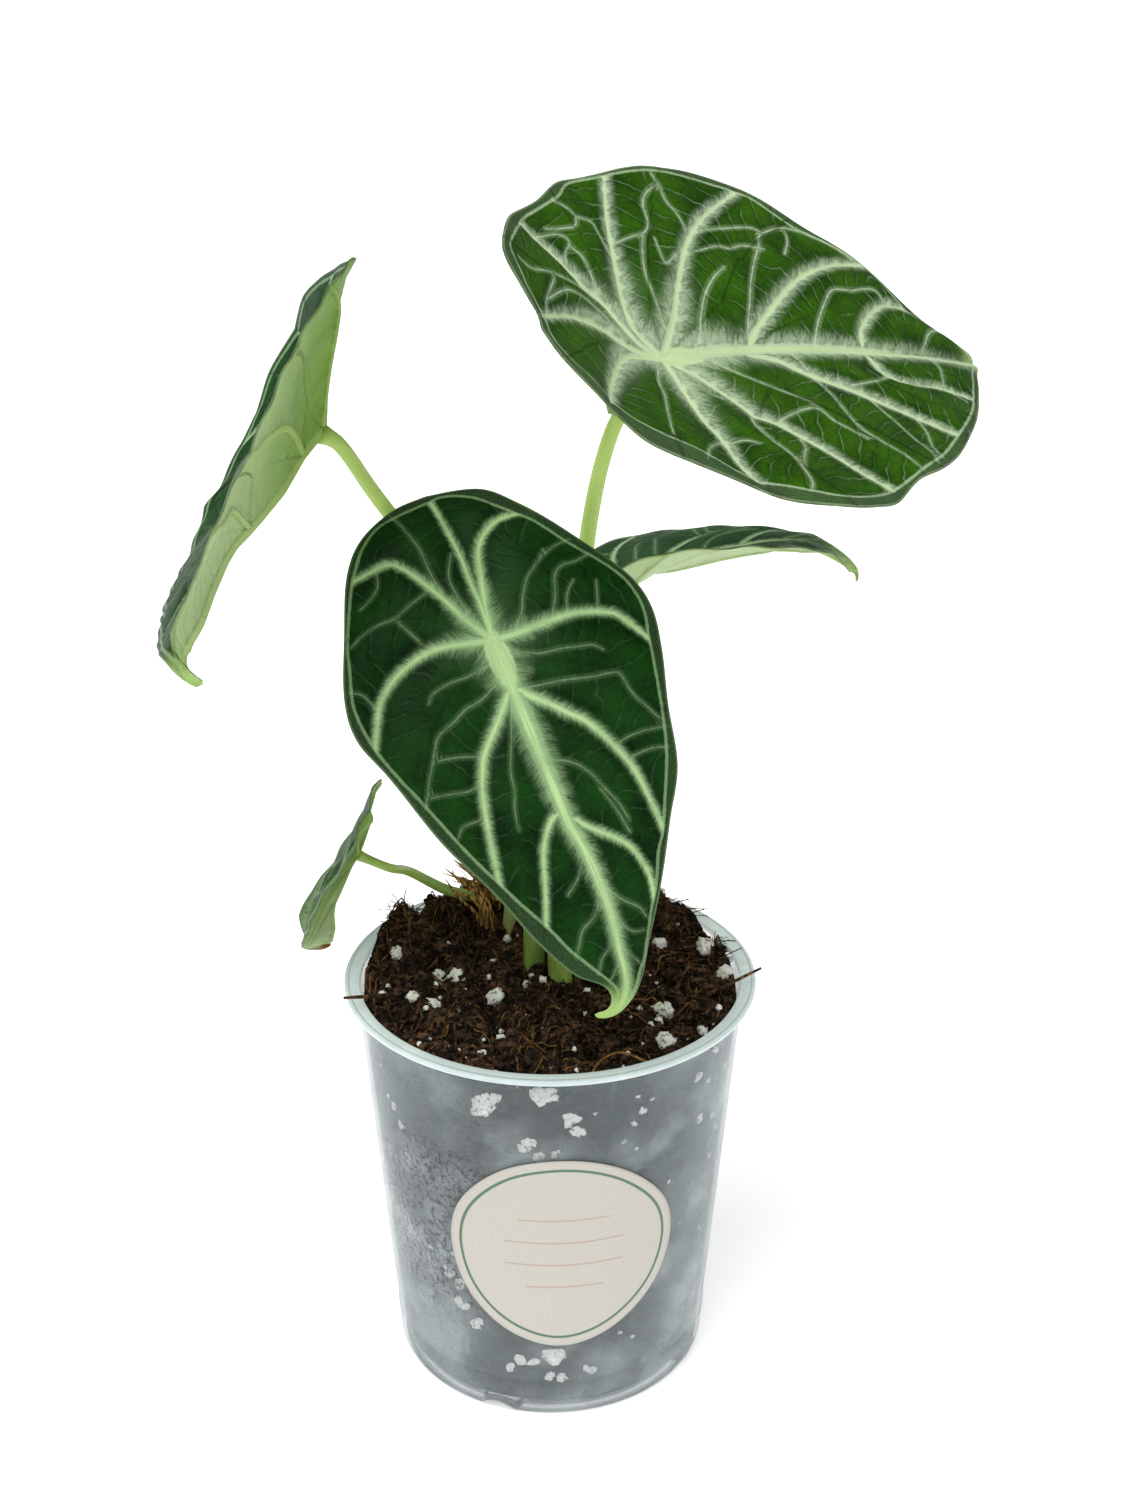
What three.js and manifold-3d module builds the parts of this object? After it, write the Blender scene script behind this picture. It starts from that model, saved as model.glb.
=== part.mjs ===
// Potted ninja alocasia: five shield-shaped leaves on slender stems, growing from potting mix
// in a clear tapered nursery pot with a round paper sticker.
// Millimetres, +Z up, the sticker faces -Y, and the origin is the centre of the pot's foot.
import * as THREE from "three";
import { mergeVertices } from "three/addons/utils/BufferGeometryUtils.js";
import Module from "manifold-3d";

const wasm = await Module();
wasm.setup();

// Pot
const POT_HEIGHT = 124;
const LIP_RADIUS = 60;
const LIP_DEPTH = 1.6;
const WALL = 1.1;
const WALL_TOP_RADIUS = 56.5;
const WALL_FOOT_RADIUS = 46.2;
const FOOT_RADIUS = 43.3;
const FOOT_CURVE_HEIGHT = 4.7;
const MOULD_LINE_HEIGHT = 13;
const MOULD_LINE_STEP = 0.2;
const EDGE_ROUNDING = 0.5;
const POT_SIDES = 64;
const NOTCH_COUNT = 4;
const NOTCH_RADIUS = 6;
const NOTCH_HEIGHT = 3.6;
const NOTCH_SIDES = 16;
const NOTCH_INNER_END = 38;
const FIRST_NOTCH_ANGLE = -110;

// Spaces between touching pieces
const GAP = 0.3;

// Sticker: points of its outline, millimetres along the wall from the front and up from the foot
const STICKER_THICKNESS = 0.5;
const STICKER_CENTRE = [4, 62];
const STICKER_OUTLINE = [
  [-29.5, 64], [-25, 79], [-12, 91.5], [5, 95], [21, 89.5], [34, 76], [37.5, 61],
  [32, 45], [18, 32.5], [2, 28], [-14, 34], [-25.5, 47],
];
const STICKER_RINGS = 4;
const STICKER_EDGE_POINTS = 48;

// Potting mix: its level, the heaps on it and the lumps all over it
const MIX_LEVEL = 118.5;
const MIX_FLOOR = 1.6;
const MIX_SIDES = 48;
const MIX_RINGS = 12;
const MIX_WALL_LEVELS = 3;
const LUMP_HEIGHT = 0.75;
const LUMP_WAVES = 9;
const LUMP_FINENESS = 1.1;
// Each heap: x, y, height, spread
const HEAPS = [
  [-45, 24, 13, 9], [-24, 43, 11, 9], [36, 38, 11, 8], [48, 17, 4, 6], [0, 36, 3, 15],
];
// The largest white perlite grains: x, y, radius
const LARGE_GRAINS = [
  [32, -10, 3.6], [33, -33, 3.0], [-34, -10, 2.8], [-33, 8, 2.8], [-27, 3, 3.0],
  [-15, -9, 3.0], [45, 14, 3.0], [51, 6, 2.6], [33, 23, 2.4], [-5, 36.5, 3.0],
  [-40, -10, 2.2], [-46, 11, 2.2], [43, -23, 2.0], [-14, -28, 1.9], [-25, -32, 1.9],
];
const SMALL_GRAINS = 14;
const SMALL_GRAIN_RADIUS = 1.3;
const SMALL_GRAIN_SPREAD = 50;
const GRAIN_RAISED_SHARE = 0.35;
const GRAIN_UNEVENNESS = 0.3;
// Each bark twig: where it leaves the mix, its free end and its radius
const TWIGS = [
  [[-43, -7], [-58, -24, 129.5], 0.9],
  [[44, -4], [61, -6, 129], 0.8],
];

const TWIG_SIDES = 6;
const TWIG_TAPER = 0.7;
const HOLE_SIDES = 14;

// Leaf blades
const BLADE_THICKNESS = 1;
const PANEL_DIVISIONS = 4;
const BLADE_RINGS = 8;
const SPINE_STEPS = 24;
const CORE_TIP_SHARE = 0.78;
const PUFF_PANEL_WIDTH = 14;
const PUFF_END_POWER = 0.7;
const MARGIN_SAMPLES = 200;
const NORMAL_STEP = 0.05;

// One side of a blade seen flat, from its drip tip round to its rear end: x towards the tip,
// y away from the midrib, with the stem joining at 0, 0.
const SIDE_OUTLINE = [
  [112, 0.8], [106, 1.6], [101, 3.5], [92, 9.5], [79, 17], [62, 25], [47, 33], [31, 38.5],
  [16, 42.5], [2, 43], [-12, 38.5], [-25, 31], [-36, 22], [-44, 12], [-46.5, 0],
];
// The thick side veins of that blade, each from the midrib to the margin
const SIDE_VEINS = [
  [[50, 0], [59, 8], [67, 13], [81, 16]],
  [[13, 0], [23, 10], [34, 17], [48, 21], [63, 25]],
  [[0, 0], [-1, 13], [1, 27], [6, 35], [16, 42.5]],
  [[0, 0], [-16, 5], [-27, 10], [-32, 17], [-29, 28]],
];
const BLADE_WIDTH = 43;
const BLADE_REAR = 46.5;
const BLADE_LENGTH = 112;

function scaledSide(points, length, rear, width) {
  return points.map(([x, y]) => {
    const stretch = x > 0 ? length / BLADE_LENGTH : rear / BLADE_REAR;
    return [x * stretch, y * width / BLADE_WIDTH];
  });
}

function evenBlade(length, rear, width) {
  const outline = scaledSide(SIDE_OUTLINE, length, rear, width);
  const veins = SIDE_VEINS.map((vein) => scaledSide(vein, length, rear, width));
  return { length, left: { outline, veins }, right: { outline, veins }, rearVein: [[0, 0], [-rear, 0]] };
}

// Each leaf: where its stem joins, which way the blade heads, dips and rolls (degrees), how it
// bends (radians), and its flat shape. The right side's y is given as a positive distance too.
const LEAVES = [
  {
    name: "front_leaf",
    join: [-14.8, -30, 240.6], heading: -53, pitch: 50, roll: 25,
    droop: 0.5, droopPower: 2, droopSpan: 107, rearBend: 0.4, rearSpan: 42,
    fold: 0.05, curlLeft: 0.3, curlRight: 0, curlSpan: 43,
    tail: 88, hookDown: -1, hookSide: -2.3,
    puff: 1.7, wave: 0.7, waves: 5, colour: 0x2f5a33,
    flat: {
      length: 110,
      left: {
        outline: [
          [110, 0.6], [105, 1.2], [100, 2.4], [92, 6.5], [79, 15], [62, 25], [49, 33], [33, 37],
          [18, 42], [6, 44], [-5, 41], [-20, 32], [-34, 22], [-43, 14], [-47, 0],
        ],
        veins: [
          [[49, 0], [59, 9], [68, 14.5], [84, 13]],
          [[13, 0], [21, 8], [31, 16], [45, 21], [66, 23]],
          [[0, 0], [0, 15], [3, 30], [18, 42]],
          [[0, 0], [-16, 4], [-26, 7], [-32, 14], [-31, 24]],
        ],
      },
      right: {
        outline: [
          [110, 0.6], [105, 1.6], [100, 4.5], [91, 12], [78, 19], [62, 25], [44, 33], [24, 39],
          [12, 43], [1, 42], [-14, 36], [-30, 29], [-40, 21], [-46, 10], [-47, 0],
        ],
        veins: [
          [[49, 0], [54, 7], [66, 12], [81, 18]],
          [[13, 0], [24, 11], [36, 18], [52, 21], [66, 24]],
          [[0, 0], [-3, 10], [-3, 22], [3, 32], [19, 41]],
          [[0, 0], [-16, 7], [-27, 12], [-31, 19], [-28, 30]],
        ],
      },
      rearVein: [[0, 0], [-47, 0]],
    },
    stem: {
      root: [3, 4], lean: [-0.06, 0.1], rootRadius: 3.9, tipRadius: 2.1,
      path: [[0, 13, 160], [-8, 6, 205]],
    },
  },
  {
    name: "upper_leaf",
    join: [29.7, -5, 309.3], heading: 36.5, pitch: 7.4, roll: 37.3,
    droop: 0.165, droopPower: 2.5, droopSpan: 105, rearBend: -0.492, rearSpan: 42,
    fold: 0.151, curlLeft: 0, curlRight: -0.096, curlSpan: 43,
    tail: 117, hookDown: 2.4, hookSide: -0.3,
    puff: 1.9, wave: 1, waves: 6, colour: 0x3f6e3a,
    flat: {
      length: 131,
      left: {
        outline: [
          [131, 0.8], [124, 2], [118, 4.5], [107, 11], [92, 24], [78, 37], [58, 48], [39, 58],
          [24, 59], [8, 58], [-12, 54], [-27, 45], [-42, 37], [-54, 27], [-61, 17], [-54, 10.5],
          [-48, 4],
        ],
        veins: [
          [[73, 0], [79, 10], [86, 15], [94, 17], [102, 14.5]],
          [[30, 0], [40, 11], [55, 22], [77, 30], [87, 28.5]],
          [[0, 0], [10, 14], [22, 33], [36, 46], [50, 53]],
          [[0, 0], [-5, 12], [-2, 33], [5, 58]],
          [[0, 0], [-9, 13], [-22, 25], [-42, 37]],
        ],
      },
      right: {
        outline: [
          [131, 0.8], [124, 2], [118, 6], [111, 14], [102, 23], [87, 35], [76, 43], [62, 50],
          [50, 54], [38, 61], [29, 63], [19, 63], [6, 58], [-5, 51], [-17, 46], [-30, 39],
          [-44, 34], [-51, 25], [-53, 14], [-48, -4],
        ],
        veins: [
          [[73, 0], [80, 8], [90, 13], [105, 20]],
          [[30, 0], [46, 9], [63, 21], [84, 37]],
          [[0, 0], [8, 9], [16, 20], [26, 31], [43, 58]],
          [[0, 0], [-1, 8], [0, 21], [0, 34], [2, 56]],
          [[0, 0], [-14, 1], [-22, 6], [-34, 17], [-48, 30]],
        ],
      },
      rearVein: [[0, 0], [-13, 5], [-24, 8.5], [-36, 8], [-48, 4]],
    },
    stem: {
      root: [10.5, 11], lean: [0.02, 0], rootRadius: 3.7, tipRadius: 1.9,
      path: [[10, 13, 200], [10, 12, 250], [17.5, 5.5, 288]],
    },
  },
  {
    name: "left_leaf",
    join: [-60.6, -5.2, 289.4], heading: 257.3, pitch: 9.5, roll: 63.3,
    droop: -0.016, droopPower: 1.5, droopSpan: 110, rearBend: -0.933, rearSpan: 49,
    fold: 0.345, curlLeft: 0.331, curlRight: -0.069, curlSpan: 52,
    tail: 103, hookDown: 2.68, hookSide: -0.51,
    puff: 1.5, wave: 1.1, waves: 7, colour: 0x35602f,
    flat: evenBlade(123, 49, 51.5),
    stem: {
      root: [-4.8, 13], lean: [-0.03, 0.02], rootRadius: 3.4, tipRadius: 1.9,
      path: [[-13, 14, 185], [-30, 10, 240], [-46, 3, 269]],
    },
  },
  {
    name: "back_leaf",
    join: [22.2, 62.5, 221.8], heading: 9.4, pitch: -15.7, roll: -4.9,
    droop: 0.83, droopPower: 3, droopSpan: 70, rearBend: 0.1, rearSpan: 40,
    fold: 0.037, curlLeft: -0.101, curlRight: -0.829, curlSpan: 38,
    tail: 70, hookDown: 1.4, hookSide: 0,
    puff: 1.3, wave: 0.6, waves: 6, colour: 0x35602f,
    flat: evenBlade(80, 40, 38),
    stem: {
      root: [4, 20.5], lean: [0.1, 0.16], rootRadius: 3.3, tipRadius: 1.8,
      path: [[14, 40, 160], [23.5, 57, 198]],
    },
  },
  {
    name: "small_leaf",
    join: [-56.8, 13.1, 156.2], heading: 124.8, pitch: 58, roll: -45,
    droop: -0.08, droopPower: 1.5, droopSpan: 50, rearBend: -0.14, rearSpan: 22.5,
    fold: 0.277, curlLeft: -0.066, curlRight: 0.529, curlSpan: 28,
    tail: 44, hookDown: 3, hookSide: -1.1,
    puff: 0.5, wave: 0.4, waves: 5, colour: 0x4b7437,
    flat: evenBlade(55, 22.5, 27.8),
    stem: {
      root: [-20, 34.5], lean: [-0.35, -0.1], rootRadius: 2.2, tipRadius: 1.2,
      path: [[-31, 30, 135.5], [-42, 22, 146]],
    },
  },
];

// Stems
const STEM_SIDES = 10;
const STEM_SECTIONS = 14;
const STEM_DEPTH = 12;
const STEM_STRAIGHT = 12;
const STEM_REACH_BELOW_BLADE = 9;
const STEM_HOLE_SPARE = 0.1;
const STEM_TIP_SPARE = 0.1;
const STEM_TAPER_POWER = 0.6;

// Withered sheath and stub beside the small leaf's stem
const SHEATH_ROOT = [-16.5, 40.2];
const SHEATH_DEPTH = 5;
const SHEATH_CROWN = 5;
const SHEATH_RADIUS = 2;
const SHEATH_SIDES = 8;
const STRIP_SIDES = 5;
const STRIP_TIP_RADIUS = 0.3;
const SHEATH_STRIPS = [
  [[-30, 42, 140], 1.5], [[-25, 43.5, 139], 1.6], [[-19, 44.5, 137], 1.5], [[-32.5, 41, 137.5], 1.3],
  [[-13.5, 44, 132], 1.3],
];
const STUB_ROOT = [-12, 33.5];
const STUB_HEIGHT = 7;
const STUB_RADIUS = 2.6;
const STUB_TAPER = 0.75;
const STUB_SIDES = 10;

const DEG = Math.PI / 180;

// Steady stream of numbers between 0 and 1, the same on every run
function seededRandom(seed) {
  let state = seed;
  return () => {
    state = (state * 16807) % 2147483647;
    return state / 2147483647;
  };
}

function toManifold(geometry) {
  const bare = geometry.clone();
  bare.deleteAttribute("normal");
  bare.deleteAttribute("uv");
  const merged = mergeVertices(bare, 1e-4);
  return new wasm.Manifold(new wasm.Mesh({
    numProp: 3,
    vertProperties: new Float32Array(merged.attributes.position.array),
    triVerts: new Uint32Array(merged.index.array),
  }));
}

function toGeometry(manifold) {
  const mesh = manifold.getMesh();
  const geometry = new THREE.BufferGeometry();
  geometry.setAttribute("position", new THREE.BufferAttribute(new Float32Array(mesh.vertProperties), 3));
  geometry.setIndex(new THREE.BufferAttribute(new Uint32Array(mesh.triVerts), 1));
  geometry.computeVertexNormals();
  return geometry;
}

function indexedGeometry(points, triangles) {
  const geometry = new THREE.BufferGeometry();
  geometry.setAttribute("position", new THREE.Float32BufferAttribute(points.flatMap((p) => [p.x, p.y, p.z]), 3));
  geometry.setIndex(triangles.flat());
  geometry.computeVertexNormals();
  return geometry;
}

// Outer radius of the pot's straight wall at a height
function wallRadius(z) {
  const share = (z - FOOT_CURVE_HEIGHT) / (POT_HEIGHT - FOOT_CURVE_HEIGHT);
  return WALL_FOOT_RADIUS + (WALL_TOP_RADIUS - WALL_FOOT_RADIUS) * share;
}

function potProfile() {
  const outside = [[0, 0], [FOOT_RADIUS, 0]];
  for (const angle of [30, 60, 90]) {
    const r = FOOT_RADIUS + (wallRadius(FOOT_CURVE_HEIGHT) - FOOT_RADIUS) * Math.sin(angle * DEG);
    outside.push([r + MOULD_LINE_STEP, FOOT_CURVE_HEIGHT * (1 - Math.cos(angle * DEG))]);
  }
  outside.push([wallRadius(MOULD_LINE_HEIGHT) + MOULD_LINE_STEP, MOULD_LINE_HEIGHT]);
  outside.push([wallRadius(MOULD_LINE_HEIGHT + EDGE_ROUNDING), MOULD_LINE_HEIGHT + EDGE_ROUNDING]);
  const lipBottom = POT_HEIGHT - LIP_DEPTH;
  outside.push([wallRadius(lipBottom), lipBottom], [LIP_RADIUS - EDGE_ROUNDING, lipBottom]);
  outside.push([LIP_RADIUS, lipBottom + EDGE_ROUNDING], [LIP_RADIUS, POT_HEIGHT - EDGE_ROUNDING]);
  outside.push([LIP_RADIUS - EDGE_ROUNDING, POT_HEIGHT]);
  const inside = [
    [wallRadius(POT_HEIGHT) - WALL, POT_HEIGHT],
    [wallRadius(FOOT_CURVE_HEIGHT + WALL) - WALL, FOOT_CURVE_HEIGHT + WALL],
    [FOOT_RADIUS - WALL, MIX_FLOOR - GAP],
    [0, MIX_FLOOR - GAP],
  ];
  return [...outside, ...inside].map(([r, z]) => new THREE.Vector2(r, z));
}

function potGeometry() {
  const shell = new THREE.LatheGeometry(potProfile(), POT_SIDES);
  shell.rotateX(Math.PI / 2);
  let pot = toManifold(shell);
  const length = LIP_RADIUS - NOTCH_INNER_END;
  for (let i = 0; i < NOTCH_COUNT; i += 1) {
    const angle = (FIRST_NOTCH_ANGLE + i * 360 / NOTCH_COUNT) * DEG;
    const cutter = new THREE.CylinderGeometry(NOTCH_RADIUS, NOTCH_RADIUS, length, NOTCH_SIDES);
    cutter.rotateZ(Math.PI / 2);
    cutter.translate(NOTCH_INNER_END + length / 2, 0, NOTCH_HEIGHT - NOTCH_RADIUS);
    cutter.rotateZ(angle);
    pot = pot.subtract(toManifold(cutter));
  }
  return toGeometry(pot);
}

// Sticker: rings of points shrinking to its centre, bent round the tapered wall
function stickerPoint(along, z, lift) {
  const radius = wallRadius(z) + GAP + lift;
  const angle = along / wallRadius(z);
  return new THREE.Vector3(radius * Math.sin(angle), -radius * Math.cos(angle), z);
}

function stickerGeometry() {
  const closed = [...STICKER_OUTLINE, STICKER_OUTLINE[0]].map(([a, z]) => new THREE.Vector3(a, z, 0));
  const edge = new THREE.CatmullRomCurve3(closed.slice(0, -1), true).getSpacedPoints(STICKER_EDGE_POINTS);
  const points = [];
  for (const lift of [0, STICKER_THICKNESS]) {
    points.push(stickerPoint(STICKER_CENTRE[0], STICKER_CENTRE[1], lift));
    for (let ring = 1; ring <= STICKER_RINGS; ring += 1) {
      const share = ring / STICKER_RINGS;
      for (let i = 0; i < STICKER_EDGE_POINTS; i += 1) {
        const along = STICKER_CENTRE[0] + (edge[i].x - STICKER_CENTRE[0]) * share;
        const z = STICKER_CENTRE[1] + (edge[i].y - STICKER_CENTRE[1]) * share;
        points.push(stickerPoint(along, z, lift));
      }
    }
  }
  const sheet = 1 + STICKER_RINGS * STICKER_EDGE_POINTS;
  const at = (side, ring, i) => (ring === 0
    ? side * sheet
    : side * sheet + 1 + (ring - 1) * STICKER_EDGE_POINTS + (i % STICKER_EDGE_POINTS));
  const triangles = [];
  for (let i = 0; i < STICKER_EDGE_POINTS; i += 1) {
    triangles.push([at(0, 0, 0), at(0, 1, i), at(0, 1, i + 1)]);
    triangles.push([at(1, 0, 0), at(1, 1, i + 1), at(1, 1, i)]);
    for (let ring = 1; ring < STICKER_RINGS; ring += 1) {
      const [a, b] = [at(0, ring, i), at(0, ring, i + 1)];
      const [c, d] = [at(0, ring + 1, i), at(0, ring + 1, i + 1)];
      triangles.push([a, c, d], [a, d, b]);
      triangles.push([a + sheet, d + sheet, c + sheet], [a + sheet, b + sheet, d + sheet]);
    }
    const [c, d] = [at(0, STICKER_RINGS, i), at(0, STICKER_RINGS, i + 1)];
    triangles.push([c, c + sheet, d + sheet], [c, d + sheet, d]);
  }
  return indexedGeometry(points, triangles);
}

// Potting mix
const lumps = (() => {
  const random = seededRandom(41);
  return Array.from({ length: LUMP_WAVES }, () => ({
    kx: (random() - 0.5) * LUMP_FINENESS,
    ky: (random() - 0.5) * LUMP_FINENESS,
    phase: random() * 2 * Math.PI,
  }));
})();

function mixHeight(x, y) {
  let z = MIX_LEVEL;
  for (const [hx, hy, height, spread] of HEAPS) {
    z += height * Math.exp(-((x - hx) ** 2 + (y - hy) ** 2) / (2 * spread ** 2));
  }
  for (const { kx, ky, phase } of lumps) {
    z += LUMP_HEIGHT * Math.sin(kx * x + ky * y + phase);
  }
  return z;
}

function innerRadius(z) {
  return wallRadius(Math.min(z, POT_HEIGHT)) - WALL - GAP;
}

function mixBody() {
  const points = [new THREE.Vector3(0, 0, mixHeight(0, 0))];
  const rimRadius = innerRadius(MIX_LEVEL - 2);
  for (let ring = 1; ring <= MIX_RINGS; ring += 1) {
    for (let i = 0; i < MIX_SIDES; i += 1) {
      const angle = i * 2 * Math.PI / MIX_SIDES;
      const r = rimRadius * ring / MIX_RINGS;
      const [x, y] = [r * Math.cos(angle), r * Math.sin(angle)];
      points.push(new THREE.Vector3(x, y, mixHeight(x, y)));
    }
  }
  const top = MIX_LEVEL - 5;
  const foot = FOOT_CURVE_HEIGHT + WALL;
  const levels = [];
  for (let i = 0; i < MIX_WALL_LEVELS; i += 1) {
    levels.push(top + (foot - top) * i / (MIX_WALL_LEVELS - 1));
  }
  const rows = levels.map((z) => [innerRadius(z), z]);
  rows.push([FOOT_RADIUS - WALL - GAP, MIX_FLOOR]);
  for (const [r, z] of rows) {
    for (let i = 0; i < MIX_SIDES; i += 1) {
      const angle = i * 2 * Math.PI / MIX_SIDES;
      points.push(new THREE.Vector3(r * Math.cos(angle), r * Math.sin(angle), z));
    }
  }
  points.push(new THREE.Vector3(0, 0, MIX_FLOOR));
  const lastRing = MIX_RINGS + rows.length;
  const at = (ring, i) => 1 + (ring - 1) * MIX_SIDES + (i % MIX_SIDES);
  const triangles = [];
  for (let i = 0; i < MIX_SIDES; i += 1) {
    triangles.push([0, at(1, i), at(1, i + 1)]);
    for (let ring = 1; ring < lastRing; ring += 1) {
      triangles.push([at(ring, i), at(ring + 1, i), at(ring + 1, i + 1)]);
      triangles.push([at(ring, i), at(ring + 1, i + 1), at(ring, i + 1)]);
    }
    triangles.push([at(lastRing, i), points.length - 1, at(lastRing, i + 1)]);
  }
  return toManifold(indexedGeometry(points, triangles));
}

// Perlite grain: a rough little ball sunk a third into the mix
function grain(x, y, radius, random) {
  const ball = mergeVertices(new THREE.IcosahedronGeometry(radius, 0).deleteAttribute("normal").deleteAttribute("uv"));
  const stretch = () => 1 + GRAIN_UNEVENNESS * (random() - 0.5);
  ball.scale(stretch(), stretch(), stretch() - GRAIN_UNEVENNESS / 3);
  ball.rotateX(random() * Math.PI);
  ball.rotateZ(random() * 2 * Math.PI);
  ball.translate(x, y, mixHeight(x, y) + radius * GRAIN_RAISED_SHARE);
  return toManifold(ball);
}

// Round bar between two points, with flat ends
function bar(from, to, radiusFrom, radiusTo, sides) {
  const start = new THREE.Vector3(...from);
  const end = new THREE.Vector3(...to);
  const along = end.clone().sub(start);
  const geometry = new THREE.CylinderGeometry(radiusTo, radiusFrom, along.length(), sides);
  geometry.translate(0, along.length() / 2, 0);
  const turn = new THREE.Quaternion().setFromUnitVectors(new THREE.Vector3(0, 1, 0), along.normalize());
  geometry.applyQuaternion(turn);
  geometry.translate(start.x, start.y, start.z);
  return geometry;
}

function stemDirection(stem) {
  return new THREE.Vector3(stem.lean[0], stem.lean[1], 1).normalize();
}

function stemRoot(stem) {
  return new THREE.Vector3(stem.root[0], stem.root[1], mixHeight(stem.root[0], stem.root[1]));
}

// Plain hole in the mix for a piece that stands in it
function hole(root, direction, depth, radius) {
  const bottom = root.clone().addScaledVector(direction, -depth - GAP);
  const top = root.clone().addScaledVector(direction, depth);
  return toManifold(bar(bottom.toArray(), top.toArray(), radius + GAP, radius + GAP, HOLE_SIDES));
}

function mixGeometry() {
  const random = seededRandom(7);
  let mix = mixBody();
  for (const [x, y, radius] of LARGE_GRAINS) {
    mix = mix.add(grain(x, y, radius, random));
  }
  for (let i = 0; i < SMALL_GRAINS; i += 1) {
    const r = SMALL_GRAIN_SPREAD * Math.sqrt(random());
    const angle = random() * 2 * Math.PI;
    mix = mix.add(grain(r * Math.cos(angle), r * Math.sin(angle), SMALL_GRAIN_RADIUS, random));
  }
  for (const [[x, y], end, radius] of TWIGS) {
    const start = [x, y, mixHeight(x, y) - radius];
    mix = mix.add(toManifold(bar(start, end, radius, radius * TWIG_TAPER, TWIG_SIDES)));
  }
  for (const { stem } of LEAVES) {
    mix = mix.subtract(hole(stemRoot(stem), stemDirection(stem), STEM_DEPTH, stem.rootRadius + STEM_HOLE_SPARE));
  }
  const up = new THREE.Vector3(0, 0, 1);
  mix = mix.subtract(hole(sheathRoot(), up, SHEATH_DEPTH, SHEATH_RADIUS));
  mix = mix.subtract(hole(stubRoot(), up, SHEATH_DEPTH, STUB_RADIUS));
  return toGeometry(mix);
}

// Leaf blade: the flat shape is laid out as panels between neighbouring veins, then bent
function flatCurve(points) {
  return new THREE.SplineCurve(points.map(([x, y]) => new THREE.Vector2(x, y)));
}

function nearestShare(curve, point) {
  const samples = curve.getSpacedPoints(MARGIN_SAMPLES);
  let best = 0;
  for (let i = 1; i < samples.length; i += 1) {
    if (samples[i].distanceTo(point) < samples[best].distanceTo(point)) {
      best = i;
    }
  }
  return best / MARGIN_SAMPLES;
}

// Ribs of one side, from the tip line to the rear line; each gives a flat point for a share of
// its length, and says how high the panel puffs up there
function sideRibs(flat, side) {
  const margin = flatCurve(side.outline);
  const coreTip = flat.length * CORE_TIP_SHARE;
  const lines = [[[coreTip, 0], [flat.length, 0]], ...side.veins].map(flatCurve);
  const shares = [0, ...side.veins.map((vein) => nearestShare(margin, new THREE.Vector2(...vein.at(-1))))];
  lines.push(flatCurve(side.rear));
  shares.push(1);
  const ribs = [];
  for (let panel = 0; panel < lines.length - 1; panel += 1) {
    for (let i = panel === 0 ? 1 : 0; i < PANEL_DIVISIONS; i += 1) {
      ribs.push(panelRib(lines, shares, margin, panel, i / PANEL_DIVISIONS));
    }
  }
  return ribs;
}

function panelRib(lines, shares, margin, panel, s) {
  const [near, far] = [lines[panel], lines[panel + 1]];
  const share = shares[panel] + (shares[panel + 1] - shares[panel]) * s;
  const end = margin.getPointAt(share);
  const chord = near.getPointAt(1).lerp(far.getPointAt(1), s);
  const reach = end.clone().sub(chord);
  return (w) => {
    const a = near.getPointAt(w);
    const b = far.getPointAt(w);
    const width = a.distanceTo(b);
    const point = a.lerp(b, s).addScaledVector(reach, w * w);
    const panelPuff = Math.sin(Math.PI * s) * Math.min(1, width / PUFF_PANEL_WIDTH);
    return { point, puff: panelPuff * Math.sin(Math.PI * w) ** PUFF_END_POWER, share };
  };
}

// Point, forward and upward directions of the bent midrib at x
function spine(leaf, x) {
  let [px, py, pz] = [0, 0, 0];
  let [down, side] = [0, 0];
  const bend = (at) => {
    const past = Math.max(0, (at - leaf.tail) / (leaf.flat.length - leaf.tail));
    const along = at > 0
      ? leaf.droop * (at / leaf.droopSpan) ** leaf.droopPower
      : leaf.rearBend * at / leaf.rearSpan;
    down = along + leaf.hookDown * past * past;
    side = leaf.hookSide * past * past;
  };
  for (let i = 0; i < SPINE_STEPS; i += 1) {
    bend(x * (i + 0.5) / SPINE_STEPS);
    px += Math.cos(down) * Math.cos(side) * x / SPINE_STEPS;
    py += Math.sin(side) * x / SPINE_STEPS;
    pz -= Math.sin(down) * Math.cos(side) * x / SPINE_STEPS;
  }
  bend(x);
  return {
    point: new THREE.Vector3(px, py, pz),
    across: new THREE.Vector3(-Math.sin(side) * Math.cos(down), Math.cos(side), Math.sin(side) * Math.sin(down)),
    up: new THREE.Vector3(Math.sin(down), 0, Math.cos(down)),
  };
}

// Middle surface of the bent blade: each side lies on an arc that starts at the fold
function bladePoint(leaf, x, y, lift) {
  const { point, across, up } = spine(leaf, x);
  const distance = Math.abs(y);
  const curl = (y > 0 ? leaf.curlLeft : leaf.curlRight) / leaf.curlSpan;
  const start = -leaf.fold;
  const turn = start + curl * distance;
  const straight = Math.abs(curl) < 1e-5;
  const out = straight ? distance * Math.cos(start) : (Math.sin(turn) - Math.sin(start)) / curl;
  const rise = straight ? -distance * Math.sin(start) : (Math.cos(turn) - Math.cos(start)) / curl;
  return point.addScaledVector(across, Math.sign(y) * out).addScaledVector(up, rise + lift);
}

function bladeNormal(leaf, x, y) {
  const step = y < 0 ? -NORMAL_STEP : NORMAL_STEP;
  const here = bladePoint(leaf, x, y, 0);
  const alongX = bladePoint(leaf, x + NORMAL_STEP, y, 0).sub(here);
  const alongY = bladePoint(leaf, x, y + step, 0).sub(here).multiplyScalar(Math.sign(step));
  return alongX.cross(alongY).normalize();
}

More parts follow.
